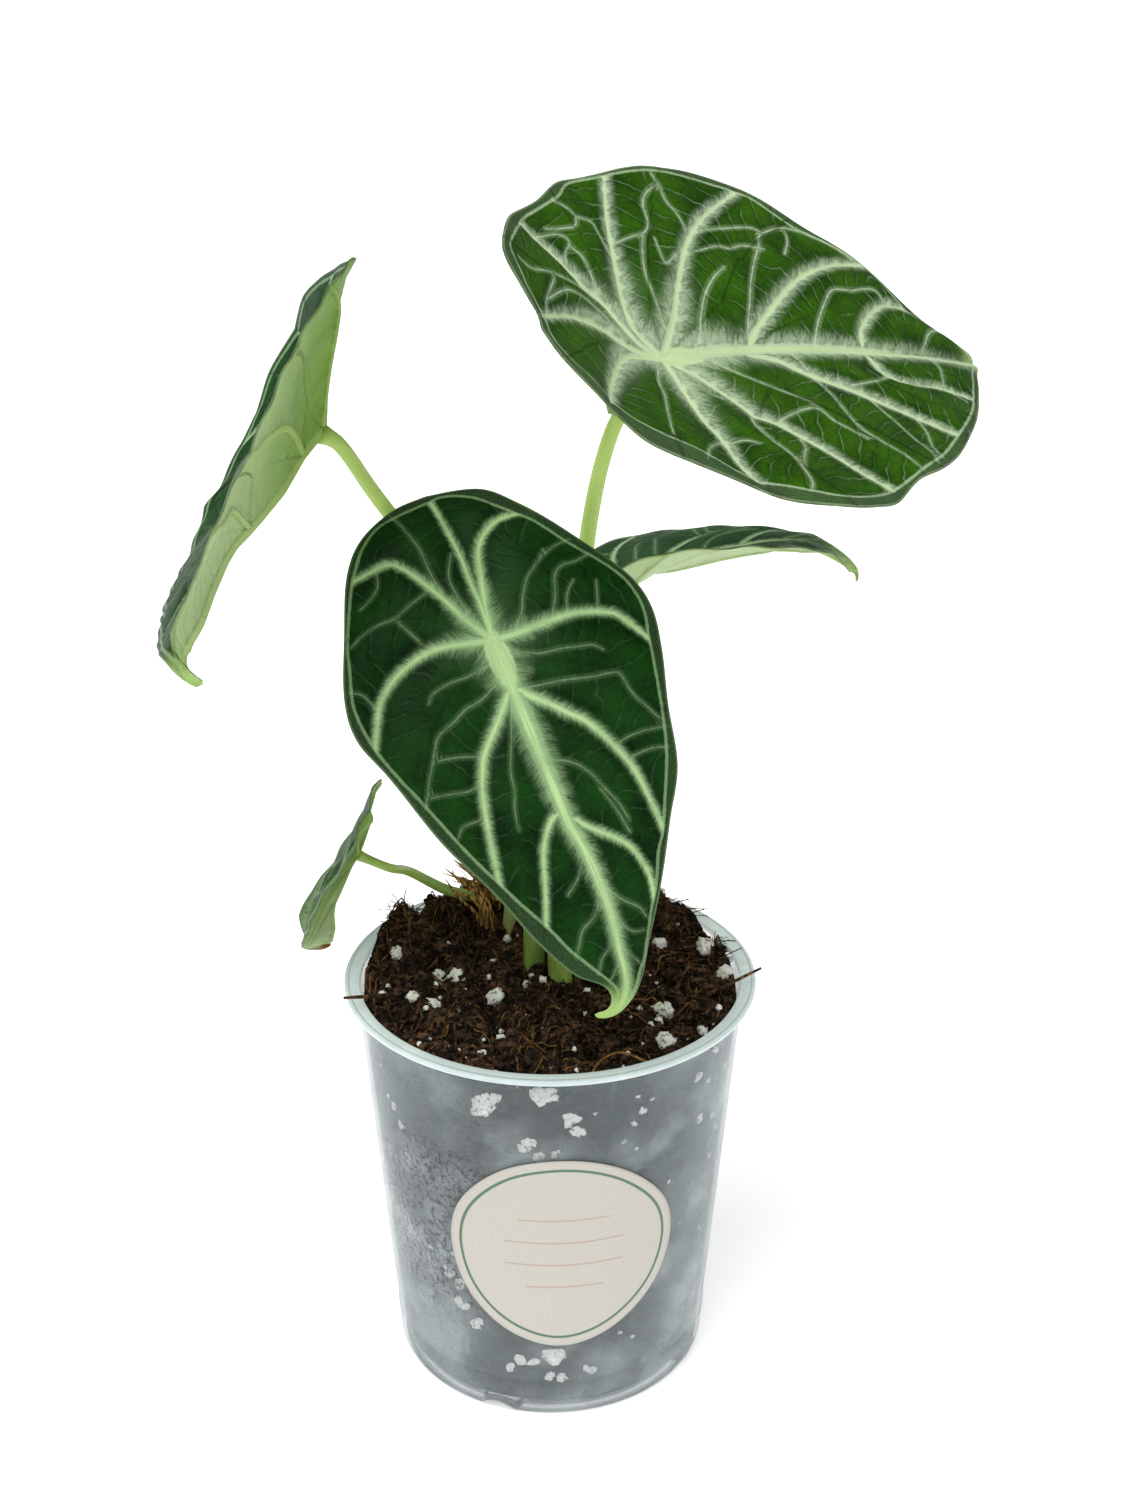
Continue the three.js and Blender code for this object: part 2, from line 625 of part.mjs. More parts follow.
function bladeLift(leaf, { puff, share }, w) {
  const wave = leaf.wave * w ** 4 * Math.sin(2 * Math.PI * leaf.waves * share);
  return leaf.puff * puff + wave * Math.sin(Math.PI * share);
}

function bladeGeometry(leaf) {
  const { flat } = leaf;
  const mirror = ([x, y]) => [x, -y];
  const leftRibs = sideRibs(flat, { ...flat.left, rear: flat.rearVein });
  const rightRibs = sideRibs(flat, { ...flat.right, rear: flat.rearVein.map(mirror) });
  const tipLine = (w) => ({
    point: new THREE.Vector2(flat.length * (CORE_TIP_SHARE + (1 - CORE_TIP_SHARE) * w), 0),
    puff: 0,
    share: 0,
  });
  const rearCurve = flatCurve(flat.rearVein);
  const rearLine = (w) => ({ point: rearCurve.getPointAt(w), puff: 0, share: 0 });
  const tops = [];
  const bottoms = [];
  const known = new Map();
  const vertex = (rib, w, sign) => {
    const sample = rib(w);
    const [x, y] = [sample.point.x, sample.point.y * sign];
    const key = `${x.toFixed(3)},${Math.abs(y) < 1e-6 ? 0 : y.toFixed(3)}`;
    if (!known.has(key)) {
      const top = bladePoint(leaf, x, y, bladeLift(leaf, sample, w));
      known.set(key, tops.length);
      tops.push(top);
      bottoms.push(top.clone().addScaledVector(bladeNormal(leaf, x, y), -BLADE_THICKNESS));
    }
    return known.get(key);
  };
  const ribRows = (ribs, sign) => ribs.map((rib) => {
    const row = [];
    for (let j = 0; j <= BLADE_RINGS; j += 1) {
      row.push(vertex(rib, j / BLADE_RINGS, sign));
    }
    return row;
  });
  const loop = [
    ...ribRows([tipLine], 1),
    ...ribRows(leftRibs, 1),
    ...ribRows([rearLine], 1),
    ...ribRows(rightRibs, -1).reverse(),
  ];
  const triangles = [];
  const face = (a, b, c) => {
    if (a !== b && b !== c && a !== c) {
      triangles.push([a, b, c]);
    }
  };
  loop.forEach((row, i) => {
    const next = loop[(i + 1) % loop.length];
    for (let j = 0; j < BLADE_RINGS; j += 1) {
      face(row[j], row[j + 1], next[j + 1]);
      face(row[j], next[j + 1], next[j]);
    }
  });
  const upper = [...triangles];
  for (const [a, b, c] of upper) {
    triangles.push([a + tops.length, c + tops.length, b + tops.length]);
  }
  loop.forEach((row, i) => {
    const [a, b] = [row[BLADE_RINGS], loop[(i + 1) % loop.length][BLADE_RINGS]];
    triangles.push([a, a + tops.length, b + tops.length], [a, b + tops.length, b]);
  });
  return indexedGeometry([...tops, ...bottoms], triangles);
}

function leafTurn(leaf) {
  return new THREE.Euler(leaf.roll * DEG, leaf.pitch * DEG, leaf.heading * DEG, "ZYX");
}

// Stem: straight where it stands in the mix, then curving up to meet the blade squarely from below
function stemGeometry(leaf) {
  const { stem } = leaf;
  const direction = stemDirection(stem);
  const root = stemRoot(stem);
  const up = new THREE.Vector3(0, 0, 1).applyEuler(leafTurn(leaf));
  const tip = new THREE.Vector3(...leaf.join).addScaledVector(up, -BLADE_THICKNESS - GAP - STEM_TIP_SPARE);
  const path = [-STEM_DEPTH, -STEM_DEPTH / 3, STEM_STRAIGHT / 3, STEM_STRAIGHT]
    .map((reach) => root.clone().addScaledVector(direction, reach));
  path.push(...stem.path.map((p) => new THREE.Vector3(...p)));
  path.push(tip.clone().addScaledVector(up, -STEM_REACH_BELOW_BLADE), tip);
  const curve = new THREE.CatmullRomCurve3(path, false, "centripetal");
  const points = [];
  let side = new THREE.Vector3(1, 0, 0);
  for (let i = 0; i <= STEM_SECTIONS; i += 1) {
    const share = i / STEM_SECTIONS;
    const centre = curve.getPointAt(share);
    const along = i === STEM_SECTIONS ? up : curve.getTangentAt(share);
    side = side.clone().addScaledVector(along, -side.dot(along)).normalize();
    const across = along.clone().cross(side);
    const radius = stem.rootRadius + (stem.tipRadius - stem.rootRadius) * share ** STEM_TAPER_POWER;
    for (let k = 0; k < STEM_SIDES; k += 1) {
      const angle = k * 2 * Math.PI / STEM_SIDES;
      const point = centre.clone().addScaledVector(side, radius * Math.cos(angle));
      points.push(point.addScaledVector(across, radius * Math.sin(angle)));
    }
  }
  const at = (i, k) => i * STEM_SIDES + (k % STEM_SIDES);
  const triangles = [];
  for (let i = 0; i < STEM_SECTIONS; i += 1) {
    for (let k = 0; k < STEM_SIDES; k += 1) {
      triangles.push([at(i, k), at(i, k + 1), at(i + 1, k + 1)], [at(i, k), at(i + 1, k + 1), at(i + 1, k)]);
    }
  }
  for (let k = 1; k < STEM_SIDES - 1; k += 1) {
    triangles.push([at(0, 0), at(0, k + 1), at(0, k)]);
    triangles.push([at(STEM_SECTIONS, 0), at(STEM_SECTIONS, k), at(STEM_SECTIONS, k + 1)]);
  }
  return indexedGeometry(points, triangles);
}

// Withered sheath: dry pointed strips fanning from one root
function sheathRoot() {
  return new THREE.Vector3(...SHEATH_ROOT, mixHeight(...SHEATH_ROOT));
}

function stubRoot() {
  return new THREE.Vector3(...STUB_ROOT, mixHeight(...STUB_ROOT));
}

function sheathGeometry() {
  const root = sheathRoot();
  const foot = [root.x, root.y, root.z - SHEATH_DEPTH];
  const crown = [root.x, root.y, root.z + SHEATH_CROWN];
  let sheath = toManifold(bar(foot, crown, SHEATH_RADIUS, SHEATH_RADIUS, SHEATH_SIDES));
  const fan = [root.x, root.y, root.z + SHEATH_CROWN - 1];
  for (const [tip, radius] of SHEATH_STRIPS) {
    sheath = sheath.add(toManifold(bar(fan, tip, radius, STRIP_TIP_RADIUS, STRIP_SIDES)));
  }
  return toGeometry(sheath);
}

function stubGeometry() {
  const root = stubRoot();
  const foot = [root.x, root.y, root.z - SHEATH_DEPTH];
  const top = [root.x, root.y, root.z + STUB_HEIGHT];
  return bar(foot, top, STUB_RADIUS, STUB_RADIUS * STUB_TAPER, STUB_SIDES);
}

const clearPlastic = () => new THREE.MeshStandardMaterial({ color: 0xb9c6cb, roughness: 0.35, metalness: 0 });
const stickerPaper = () => new THREE.MeshStandardMaterial({ color: 0xe0d9cf, roughness: 0.7, metalness: 0 });
const darkMix = () => new THREE.MeshStandardMaterial({ color: 0x33261c, roughness: 1, metalness: 0 });
const leafSkin = (colour) => new THREE.MeshStandardMaterial({ color: colour, roughness: 0.4, metalness: 0 });
const stemSkin = () => new THREE.MeshStandardMaterial({ color: 0x9dbb58, roughness: 0.5, metalness: 0 });
const driedSheath = () => new THREE.MeshStandardMaterial({ color: 0x8a6a3c, roughness: 0.9, metalness: 0 });

const group = new THREE.Group();
group.name = "potted_ninja_alocasia";

function addPiece(name, geometry, material) {
  const mesh = new THREE.Mesh(geometry, material);
  mesh.name = name;
  group.add(mesh);
  return mesh;
}

addPiece("pot", potGeometry(), clearPlastic());
addPiece("sticker", stickerGeometry(), stickerPaper());
addPiece("potting_mix", mixGeometry(), darkMix());
for (const leaf of LEAVES) {
  const blade = addPiece(`${leaf.name}_blade`, bladeGeometry(leaf), leafSkin(leaf.colour));
  blade.position.set(...leaf.join);
  blade.rotation.copy(leafTurn(leaf));
  addPiece(`${leaf.name}_stem`, stemGeometry(leaf), stemSkin());
}
addPiece("dry_sheath", sheathGeometry(), driedSheath());
addPiece("stem_stub", stubGeometry(), stemSkin());

export default group;
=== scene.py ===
# %% [markdown]
# A young aroid stands in a clear nursery pot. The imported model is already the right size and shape,
# so this script loads it as a fixed frame and dresses each piece in place. Nothing is scaled or moved.
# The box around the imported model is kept, because the finished picture may not grow past it.

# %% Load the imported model
import math
import random

import bmesh
import bpy
import numpy as np
from mathutils import Euler, Matrix, Vector, noise


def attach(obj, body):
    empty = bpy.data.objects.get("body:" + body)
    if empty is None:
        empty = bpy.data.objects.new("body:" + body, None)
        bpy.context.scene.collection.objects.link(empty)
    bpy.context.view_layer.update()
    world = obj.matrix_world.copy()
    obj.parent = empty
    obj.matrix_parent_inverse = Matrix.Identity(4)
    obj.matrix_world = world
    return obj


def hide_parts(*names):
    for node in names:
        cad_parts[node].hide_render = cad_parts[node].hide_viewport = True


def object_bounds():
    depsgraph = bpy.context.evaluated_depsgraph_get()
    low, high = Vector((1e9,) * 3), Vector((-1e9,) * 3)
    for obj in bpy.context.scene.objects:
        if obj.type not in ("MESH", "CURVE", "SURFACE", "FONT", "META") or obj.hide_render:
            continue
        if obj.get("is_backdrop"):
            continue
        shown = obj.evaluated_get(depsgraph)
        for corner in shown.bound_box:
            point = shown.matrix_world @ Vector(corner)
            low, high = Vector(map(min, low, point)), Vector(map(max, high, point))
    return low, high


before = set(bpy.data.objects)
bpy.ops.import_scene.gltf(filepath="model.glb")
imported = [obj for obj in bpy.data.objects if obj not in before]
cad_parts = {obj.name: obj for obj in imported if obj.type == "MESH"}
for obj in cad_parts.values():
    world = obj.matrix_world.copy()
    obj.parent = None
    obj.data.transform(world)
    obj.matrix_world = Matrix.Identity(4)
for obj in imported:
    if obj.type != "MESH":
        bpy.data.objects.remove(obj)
cad_low, cad_high = (np.array(corner) * 1000 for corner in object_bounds())
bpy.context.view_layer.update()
print("packed box in mm:", cad_low.round(1), cad_high.round(1))

# %% [markdown]
# The picture was taken from a little above, with a longish lens. The camera could be placed by eye, but
# then every leaf would be placed against a wrong view. So it was matched to the pot's two rims and foot:
# an 80 mm lens on a 36 mm frame, 700 mm from the middle of the plant, looking down by 24.4 degrees.

# %% Camera
MM = 0.001
CAMERA_PLACE = Vector((3.6, -637.5, 484.6)) * MM
LOOK_DOWN = math.radians(24.4)
LENS_MM = 80
FILM_WIDTH_MM = 36
camera_data = bpy.data.cameras.new("camera")
camera_data.lens = LENS_MM
camera_data.sensor_fit = "HORIZONTAL"
camera_data.sensor_width = FILM_WIDTH_MM
camera = bpy.data.objects.new("camera", camera_data)
camera.location = CAMERA_PLACE
camera.rotation_euler = (math.pi / 2 - LOOK_DOWN, 0, 0)
bpy.context.collection.objects.link(camera)
bpy.context.scene.camera = camera
print("camera at", tuple(round(value, 3) for value in camera.location))

# %% [markdown]
# Every finish is a set of shader nodes. Wiring them by hand hides the arithmetic, so one small class
# stands for a socket and lets a mask be written as a sum: 1 - mask works, and adds its Math nodes.
# Any other node comes from a single method: its type, its settings first, then its sockets.

# %% Shader arithmetic
class Signal:
    """One output of a shader node, which can be added and multiplied like a number."""

    def __init__(self, finish, socket):
        self.finish = finish
        self.socket = socket

    def math(self, operation, *values):
        sockets = dict(enumerate(values))
        return self.finish.node("ShaderNodeMath", {"operation": operation}, sockets)

    def __add__(self, other):
        return self.math("ADD", self, other)

    def __radd__(self, other):
        return self.math("ADD", other, self)

    def __sub__(self, other):
        return self.math("SUBTRACT", self, other)

    def __rsub__(self, other):
        return self.math("SUBTRACT", other, self)

    def __mul__(self, other):
        return self.math("MULTIPLY", self, other)

    def __rmul__(self, other):
        return self.math("MULTIPLY", other, self)

    def __truediv__(self, other):
        return self.math("DIVIDE", self, other)

    def __pow__(self, other):
        return self.math("POWER", self, other)

    def __abs__(self):
        return self.math("ABSOLUTE", self)

    def least(self, other):
        return self.math("MINIMUM", self, other)

    def most(self, other):
        return self.math("MAXIMUM", self, other)

    def fraction(self):
        return self.math("FRACT", self)

    def ramp(self, low, high):
        """0 below low, 1 above high and a smooth step between; high may be the smaller one."""
        settings = {"interpolation_type": "SMOOTHSTEP"}
        if low < high:
            return self.finish.node("ShaderNodeMapRange", settings, {0: self, 1: low, 2: high})
        return self.finish.node("ShaderNodeMapRange", settings, {0: self, 1: high, 2: low, 3: 1.0, 4: 0.0})


class Finish:
    """A material with one main shader. Values that are the same all over are given by name."""

    def __init__(self, name, **plain):
        self.material = bpy.data.materials.new(name)
        self.material.use_nodes = True
        self.tree = self.material.node_tree
        self.tree.nodes.clear()
        self.surface = self.tree.nodes.new("ShaderNodeBsdfPrincipled")
        for socket, value in plain.items():
            self.surface.inputs[socket.replace("_", " ")].default_value = value
        output = self.tree.nodes.new("ShaderNodeOutputMaterial")
        self.tree.links.new(self.surface.outputs["BSDF"], output.inputs["Surface"])

    def node(self, kind, settings=None, sockets=None, output=0):
        made = self.tree.nodes.new(kind)
        for key, value in (settings or {}).items():
            setattr(made, key, value)
        for key, value in (sockets or {}).items():
            if isinstance(value, Signal):
                self.tree.links.new(value.socket, made.inputs[key])
            else:
                made.inputs[key].default_value = value
        return Signal(self, made.outputs[output])

    def feed(self, socket, value):
        self.tree.links.new(value.socket, self.surface.inputs[socket])

    def stored(self, name, output="Fac"):
        return self.node("ShaderNodeAttribute", {"attribute_name": name}, None, output)

    def split(self, vector):
        made = self.node("ShaderNodeSeparateXYZ", None, {0: vector}).socket.node
        return [Signal(self, socket) for socket in made.outputs]

    def join(self, x, y, z=0.0):
        return self.node("ShaderNodeCombineXYZ", None, {0: x, 1: y, 2: z})

    def place_mm(self):
        place = self.node("ShaderNodeTexCoord", None, None, "Object")
        return self.node("ShaderNodeVectorMath", {"operation": "SCALE"}, {0: place, "Scale": 1000.0})

    def shift(self, place, amount):
        return self.node("ShaderNodeVectorMath", {"operation": "ADD"}, {0: place, 1: amount})

    def distance(self, place, centre):
        return self.node("ShaderNodeVectorMath", {"operation": "DISTANCE"}, {0: place, 1: centre}, "Value")

    def cloud(self, place, scale, detail=3.0, roughness=0.55):
        sockets = {"Vector": place, "Scale": scale, "Detail": detail, "Roughness": roughness}
        return self.node("ShaderNodeTexNoise", None, sockets, "Fac")

    def mix(self, factor, first, second):
        return self.node("ShaderNodeMix", {"data_type": "RGBA"}, {0: factor, 6: first, 7: second}, 2)

    def layers(self, colour, *coats):
        """Paints one coat after another over a colour. Each coat is where it lies and its colour."""
        for mask, coat in coats:
            colour = self.mix(mask, colour, coat)
        return colour

    def bump(self, height, distance_mm, strength=1.0):
        sockets = {"Height": height, "Distance": distance_mm * MM, "Strength": strength}
        self.feed("Normal", self.node("ShaderNodeBump", None, sockets, "Normal"))


def paint(*screen):
    """A colour as seen on a screen, 0 to 255, turned into the linear values that shaders use."""
    shares = [value / 255 for value in screen]
    linear = [share / 12.92 if share <= 0.04045 else ((share + 0.055) / 1.055) ** 2.4 for share in shares]
    return (*linear, 1.0)


print("shader helpers ready")

# %% [markdown]
# All shapes are worked out in millimetres with arrays and turned into meshes by one helper. Modelling
# by hand would be freer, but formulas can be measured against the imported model. The helper also stores
# extra values on the points, such as how far a point is from the nearest vein, for the finishes to read.

# %% Mesh helper
def make_piece(name, points, faces, stored=None, merge_mm=0.0):
    mesh = bpy.data.meshes.new(name)
    mesh.from_pydata((np.asarray(points) * MM).tolist(), [], [tuple(face) for face in faces])
    for key, values in (stored or {}).items():
        values = np.asarray(values, dtype=np.float32)
        kind = "FLOAT" if values.ndim == 1 else "FLOAT_VECTOR"
        field = mesh.attributes.new(key, kind, "POINT")
        field.data.foreach_set("value" if values.ndim == 1 else "vector", values.ravel())
    if merge_mm:
        work = bmesh.new()
        work.from_mesh(mesh)
        bmesh.ops.remove_doubles(work, verts=work.verts, dist=merge_mm * MM)
        work.to_mesh(mesh)
        work.free()
    mesh.shade_smooth()
    piece = bpy.data.objects.new(name, mesh)
    bpy.context.collection.objects.link(piece)
    return piece


def dress(piece, finish, slot, *nodes):
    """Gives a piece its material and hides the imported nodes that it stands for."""
    piece.data.materials.clear()
    piece.data.materials.append(finish.material)
    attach(piece, "root")
    if nodes:
        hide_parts(*nodes)
    triangles = sum(len(face.vertices) - 2 for face in piece.data.polygons)
    print(f"{piece.name}: {triangles} triangles")


def grid_faces(rows, columns, closed=False, flip=False):
    """Quads between neighbouring rows of a grid of points; closed joins the last column to the first."""
    faces = []
    for row in range(rows - 1):
        for column in range(columns if closed else columns - 1):
            beside = (column + 1) % columns
            a, b = row * columns + column, row * columns + beside
            c, d = (row + 1) * columns + beside, (row + 1) * columns + column
            faces.append((d, c, b, a) if flip else (a, b, c, d))
    return faces


def end_caps(rings, sides):
    """The two faces that close a tube."""
    return [tuple(reversed(range(sides))), tuple(range((rings - 1) * sides, rings * sides))]


def turned_over(faces, count):
    """The same faces on a second set of points, facing the other way."""
    return [tuple(index + count for index in reversed(face)) for face in faces]


def unit(vectors):
    return vectors / np.linalg.norm(vectors, axis=-1, keepdims=True)


def round_angles(count):
    """So many angles, spread evenly round a circle."""
    return np.arange(count) * 2 * math.pi / count


print("mesh helpers ready")

# %% [markdown]
# A blade unrolls as a nearly flat sheet and bends as it hangs, so it is drawn flat first: an outline from
# the drip tip round to the rear end, and the thick veins from the midrib to the margin. x runs towards
# the tip, y away from the midrib, and the stem joins at 0, 0. Smooth curves pass through the few points.

# %% Smooth lines through points
def cubic_steps(start, end, leave, arrive, steps):
    """Points from start towards end, on a curve that leaves and arrives in the given directions."""
    t = np.linspace(0, 1, steps, endpoint=False)[:, None]
    cubic = 2 * start - 2 * end + leave + arrive
    square = -3 * start + 3 * end - 2 * leave - arrive
    return ((cubic * t + square) * t + leave) * t + start


def arc_lengths(points):
    return np.concatenate([[0], np.cumsum(np.linalg.norm(np.diff(points, axis=0), axis=1))])


class Line:
    """A smooth curve through points, which can be read at any share of its length."""

    STEPS = 24

    def __init__(self, points):
        knots = np.array(points, dtype=float)
        pieces = []
        for i in range(len(knots) - 1):
            before, start = knots[max(i - 1, 0)], knots[i]
            end, after = knots[i + 1], knots[min(i + 2, len(knots) - 1)]
            pieces.append(cubic_steps(start, end, (end - before) / 2, (after - start) / 2, self.STEPS))
        self.points = np.vstack(pieces + [knots[-1:]])
        self.arc = arc_lengths(self.points)
        self.length = self.arc[-1]

    def at(self, share):
        reach = np.asarray(share) * self.length
        return np.stack([np.interp(reach, self.arc, axis) for axis in self.points.T], axis=-1)

    def nearest_share(self, point):
        distances = np.linalg.norm(self.points - np.array(point), axis=1)
        return self.arc[distances.argmin()] / self.length


STRIDE = 3
FAR = 1e9
TINY = 1e-9


def reach_of_lines(points, lines, widths=None):
    """For each flat point: its distance from the nearest line, the side it lies on, how far along that
    line the nearest spot is, the share of the line, which line it is, and how much farther off the
    second nearest line is. Wide lines count as nearer. A line is read in straight strides."""
    best = np.full(len(points), FAR)
    second = best.copy()
    reach, side, along, share, which = (np.zeros(len(points)) for _ in range(5))
    for number, line in enumerate(lines):
        nearest = np.full(len(points), FAR)
        spot, turn = np.zeros(len(points)), np.zeros(len(points))
        for i in range(0, len(line.points) - 1, STRIDE):
            j = min(i + STRIDE, len(line.points) - 1)
            start, step = line.points[i], line.points[j] - line.points[i]
            offset = points - start
            t = np.clip(offset @ step / max(step @ step, TINY), 0, 1)
            away = offset - t[:, None] * step
            distance = np.hypot(away[:, 0], away[:, 1])
            closer = distance < nearest
            nearest[closer] = distance[closer]
            spot[closer] = (line.arc[i] + t * (line.arc[j] - line.arc[i]))[closer]
            turn[closer] = (step[0] * offset[:, 1] - step[1] * offset[:, 0])[closer]
        weighed = nearest - (widths[number] if widths else 0)
        wins = weighed < best
        second = np.where(wins, best, np.minimum(second, weighed))
        best = np.where(wins, weighed, best)
        reach[wins] = nearest[wins]
        side[wins] = np.where(turn[wins] < 0, -1, 1)
        along[wins] = spot[wins]
        share[wins] = spot[wins] / line.length
        which[wins] = number
    return reach, side, along, share, which, second - best


arch = Line([(1, 0), (0.707, 0.707), (0, 1)])
print("a quarter circle through three points is", round(arch.length, 3), "long")

# %% [markdown]
# Three of the leaves are seen almost edge on, so they share one even outline that is stretched to their
# size. The two that face the viewer have their own outlines and veins, left and right, and a border:
# the thin pale vein that runs just inside the margin.

# %% Flat shapes of the leaves
EVEN_OUTLINE = [
    (112, 0.8), (106, 1.6), (101, 3.5), (92, 9.5), (79, 17), (62, 25), (47, 33), (31, 38.5),
    (16, 42.5), (2, 43), (-12, 38.5), (-25, 31), (-36, 22), (-44, 12), (-46.5, 0),
]
EVEN_VEINS = [
    [(50, 0), (59, 8), (67, 13), (81, 16)],
    [(13, 0), (23, 10), (34, 17), (48, 21), (63, 25)],
    [(0, 0), (-1, 13), (1, 27), (6, 35), (16, 42.5)],
    [(0, 0), (-16, 5), (-27, 10), (-32, 17), (-29, 28)],
]
FRONT_FLAT = {
    "length": 110,
    "left": {
        "outline": [
            (110, 0.6), (105, 1.2), (100, 2.4), (92, 6.5), (79, 15), (62, 25), (49, 33), (33, 37),
            (18, 42), (6, 44), (-5, 41), (-20, 32), (-34, 22), (-43, 14), (-47, 0),
        ],
        "veins": [
            [(49, 0), (54, 3.7), (60.6, 10.5), (64, 13), (68, 14.2), (73, 14.8), (84, 13)],
            [(13, 0), (17, 3.1), (21, 7.2), (25.2, 11), (29.5, 14.9), (38, 19.1), (47.3, 21.8), (66, 23)],
            [(0, 0), (0.6, 6), (0.6, 12), (0.8, 21.4), (1.9, 26.7), (3.5, 31), (6.2, 34.7), (18, 42)],
            [(0, 0), (-7, 1.4), (-18, 4.1), (-22.7, 5.4), (-26.2, 7.2), (-29, 10), (-31.4, 15), (-31, 24)],
        ],
    },
    "right": {
        "outline": [
            (110, 0.6), (105, 1.6), (100, 4.5), (91, 12), (78, 19), (62, 25), (44, 33), (24, 39),
            (12, 43), (1, 42), (-14, 36), (-30, 29), (-40, 21), (-46, 10), (-47, 0),
        ],
        "veins": [
            [(49, 0), (49.2, 2.9), (51.4, 5.5), (54.3, 7.6), (57.7, 9.4), (68.2, 13), (81, 18)],
            [(13, 0), (20.5, 6.8), (27.3, 13.4), (32, 16), (37, 18), (47, 20.4), (58, 22.4), (66, 24)],
            [(0, 0), (-2.6, 11.4), (-2.9, 17), (-1.5, 23), (0.5, 27.7), (3.3, 31.6), (6.8, 34.7), (19, 41)],
            [(0, 0), (-8, 4.5), (-13.5, 6.8), (-18.8, 9.3), (-24, 12), (-27.5, 14.3), (-30, 18), (-28, 30)],
        ],
    },
    "rear": [(0, 0), (-9.2, 0.9), (-17.3, 0.9), (-24, 1.3), (-30.6, 1.2), (-41.5, 0.7), (-47, 0)],
    "midrib": [
        (0, 0), (20, 0), (50, 0), (55, 0.6), (62, 1.5), (68.6, 1.7), (74.4, 1.7), (80.6, 1.3), (91, 0.2),
        (110, 0),
    ],
    "border": [
        (106, 0), (95, 3.5), (91.5, 6), (82, 11.5), (75.5, 15.5), (68, 19), (63, 22.5), (56, 26), (50, 29),
        (43, 32), (34.5, 34.5), (20.5, 38.2), (13, 40), (6.5, 41.5), (1, 41), (-4, 39.3), (-10, 35.5),
        (-18, 29.5), (-28, 23), (-35.5, 15.7), (-40, 11.5), (-43.5, 6.5), (-44.7, 2), (-44, -4.5),
        (-43, -11), (-41.5, -16), (-37, -21.5), (-32, -25.5), (-27, -28.7), (-20, -32.2), (-11.5, -36),
        (-5, -38), (3.5, -40.5), (11, -40.3), (18, -39), (26.5, -36.3), (35, -33), (50, -27.3),
        (60.5, -22.5), (67, -19.5), (75, -15.2), (82.5, -12), (88.5, -8.5), (95, -5), (100, -1.7),
        (106, 0),
    ],
}
UPPER_FLAT = {
    "length": 131,
    "left": {
        "outline": [
            (131, 0.8), (124, 2), (118, 4.5), (107, 11), (92, 24), (78, 37), (58, 48), (39, 58),
            (24, 59), (8, 58), (-12, 54), (-27, 45), (-42, 37), (-54, 27), (-61, 17), (-54, 10.5),
            (-48, 4),
        ],
        "veins": [
            [(73, 0), (75, 6.3), (78, 9.6), (82.2, 12.8), (87.4, 15.3), (92.8, 16.3), (102.5, 14.5)],
            [(30, 0), (35.3, 7), (48.6, 17), (57, 22.4), (65, 26), (74, 28.3), (81, 28.8), (87, 28.5)],
            [(0, 0), (9.2, 12.3), (14.1, 20.4), (18.7, 27.6), (23.3, 34), (29, 39.7), (36, 44.7), (51, 52.5)],
            [(0, 0), (-5.6, 8.5), (-6.5, 12.5), (-6.1, 17.6), (-4.8, 23.7), (-1.6, 36), (0.6, 43.4), (6, 58)],
            [(0, 0), (-5.8, 4.3), (-9.8, 9.9), (-13.6, 16), (-19.2, 20.6), (-26.5, 28), (-42, 37)],
        ],
    },
    "right": {
        "outline": [
            (131, 0.8), (124, 2), (118, 6), (111, 14), (102, 23), (87, 35), (76, 43), (62, 50),
            (50, 54), (38, 61), (29, 63), (19, 63), (6, 58), (-5, 51), (-17, 46), (-30, 39),
            (-44, 34), (-51, 25), (-53, 14), (-48, -4),
        ],
        "veins": [
            [(73, 0), (73.5, 2.4), (73.6, 7.3), (76.2, 10.8), (80.7, 13.5), (88.7, 14), (95, 15), (106, 19)],
            [(30, 0), (38, 2.5), (45.6, 9), (54.8, 14.8), (64.4, 22), (74, 29.4), (84, 37)],
            [
                (0, 0), (3.4, 3.8), (7.3, 8.2), (13.3, 19.4), (15.4, 24.5), (20.3, 27.4), (29, 39), (34, 48),
                (41, 59),
            ],
            [(0, 0), (-1.6, 14.4), (-2.5, 25.2), (-1.8, 30), (-1.9, 34.8), (-2.7, 44), (1, 56)],
            [(0, 0), (-7.6, -0.5), (-12.2, -0.3), (-17.2, 2.6), (-24.7, 9.3), (-32.7, 16.5), (-47, 30)],
        ],
    },
    "rear": [(0, 0), (-8, 2.3), (-12.6, 4.6), (-16.4, 7.2), (-22, 9.2), (-29.5, 9.6), (-37.4, 7.8), (-48, 4)],
    "midrib": [
        (0, 0), (6, 0.3), (13, 1), (22.7, 1.6), (34.5, 1.7), (46.6, 1.5), (59, 1.1), (71.7, 0.6),
        (84.6, -0.5), (98, -1.6), (109.6, -2.7), (120, -2), (131, 0),
    ],
    "border": [
        (123, 0), (109, 8.5), (98, 16), (91, 24), (85.5, 30), (76.5, 36), (66, 40.5), (59, 44.5), (51, 50),
        (40.5, 54.5), (32, 57), (23, 57.5), (13, 57), (6, 56.5), (-4.5, 55), (-11, 52.5), (-16.5, 48),
        (-21, 45.5), (-34.5, 38.5), (-40.5, 34), (-50, 26.5), (-56, 20), (-52, 13), (-46, 5), (-46, 0),
        (-48.5, -6), (-48, -13), (-43, -18.5), (-40, -24), (-36, -28), (-29.5, -31), (-17, -38),
        (-10, -43), (-2, -48.5), (5, -52), (11, -55.5), (17, -58.5), (25, -59.5), (38.5, -57),
        (55.5, -49.5), (68.5, -43.5), (80.5, -36), (92, -28), (102.5, -20), (109.5, -12), (115, -5.5),
        (123, 0),
    ],
}


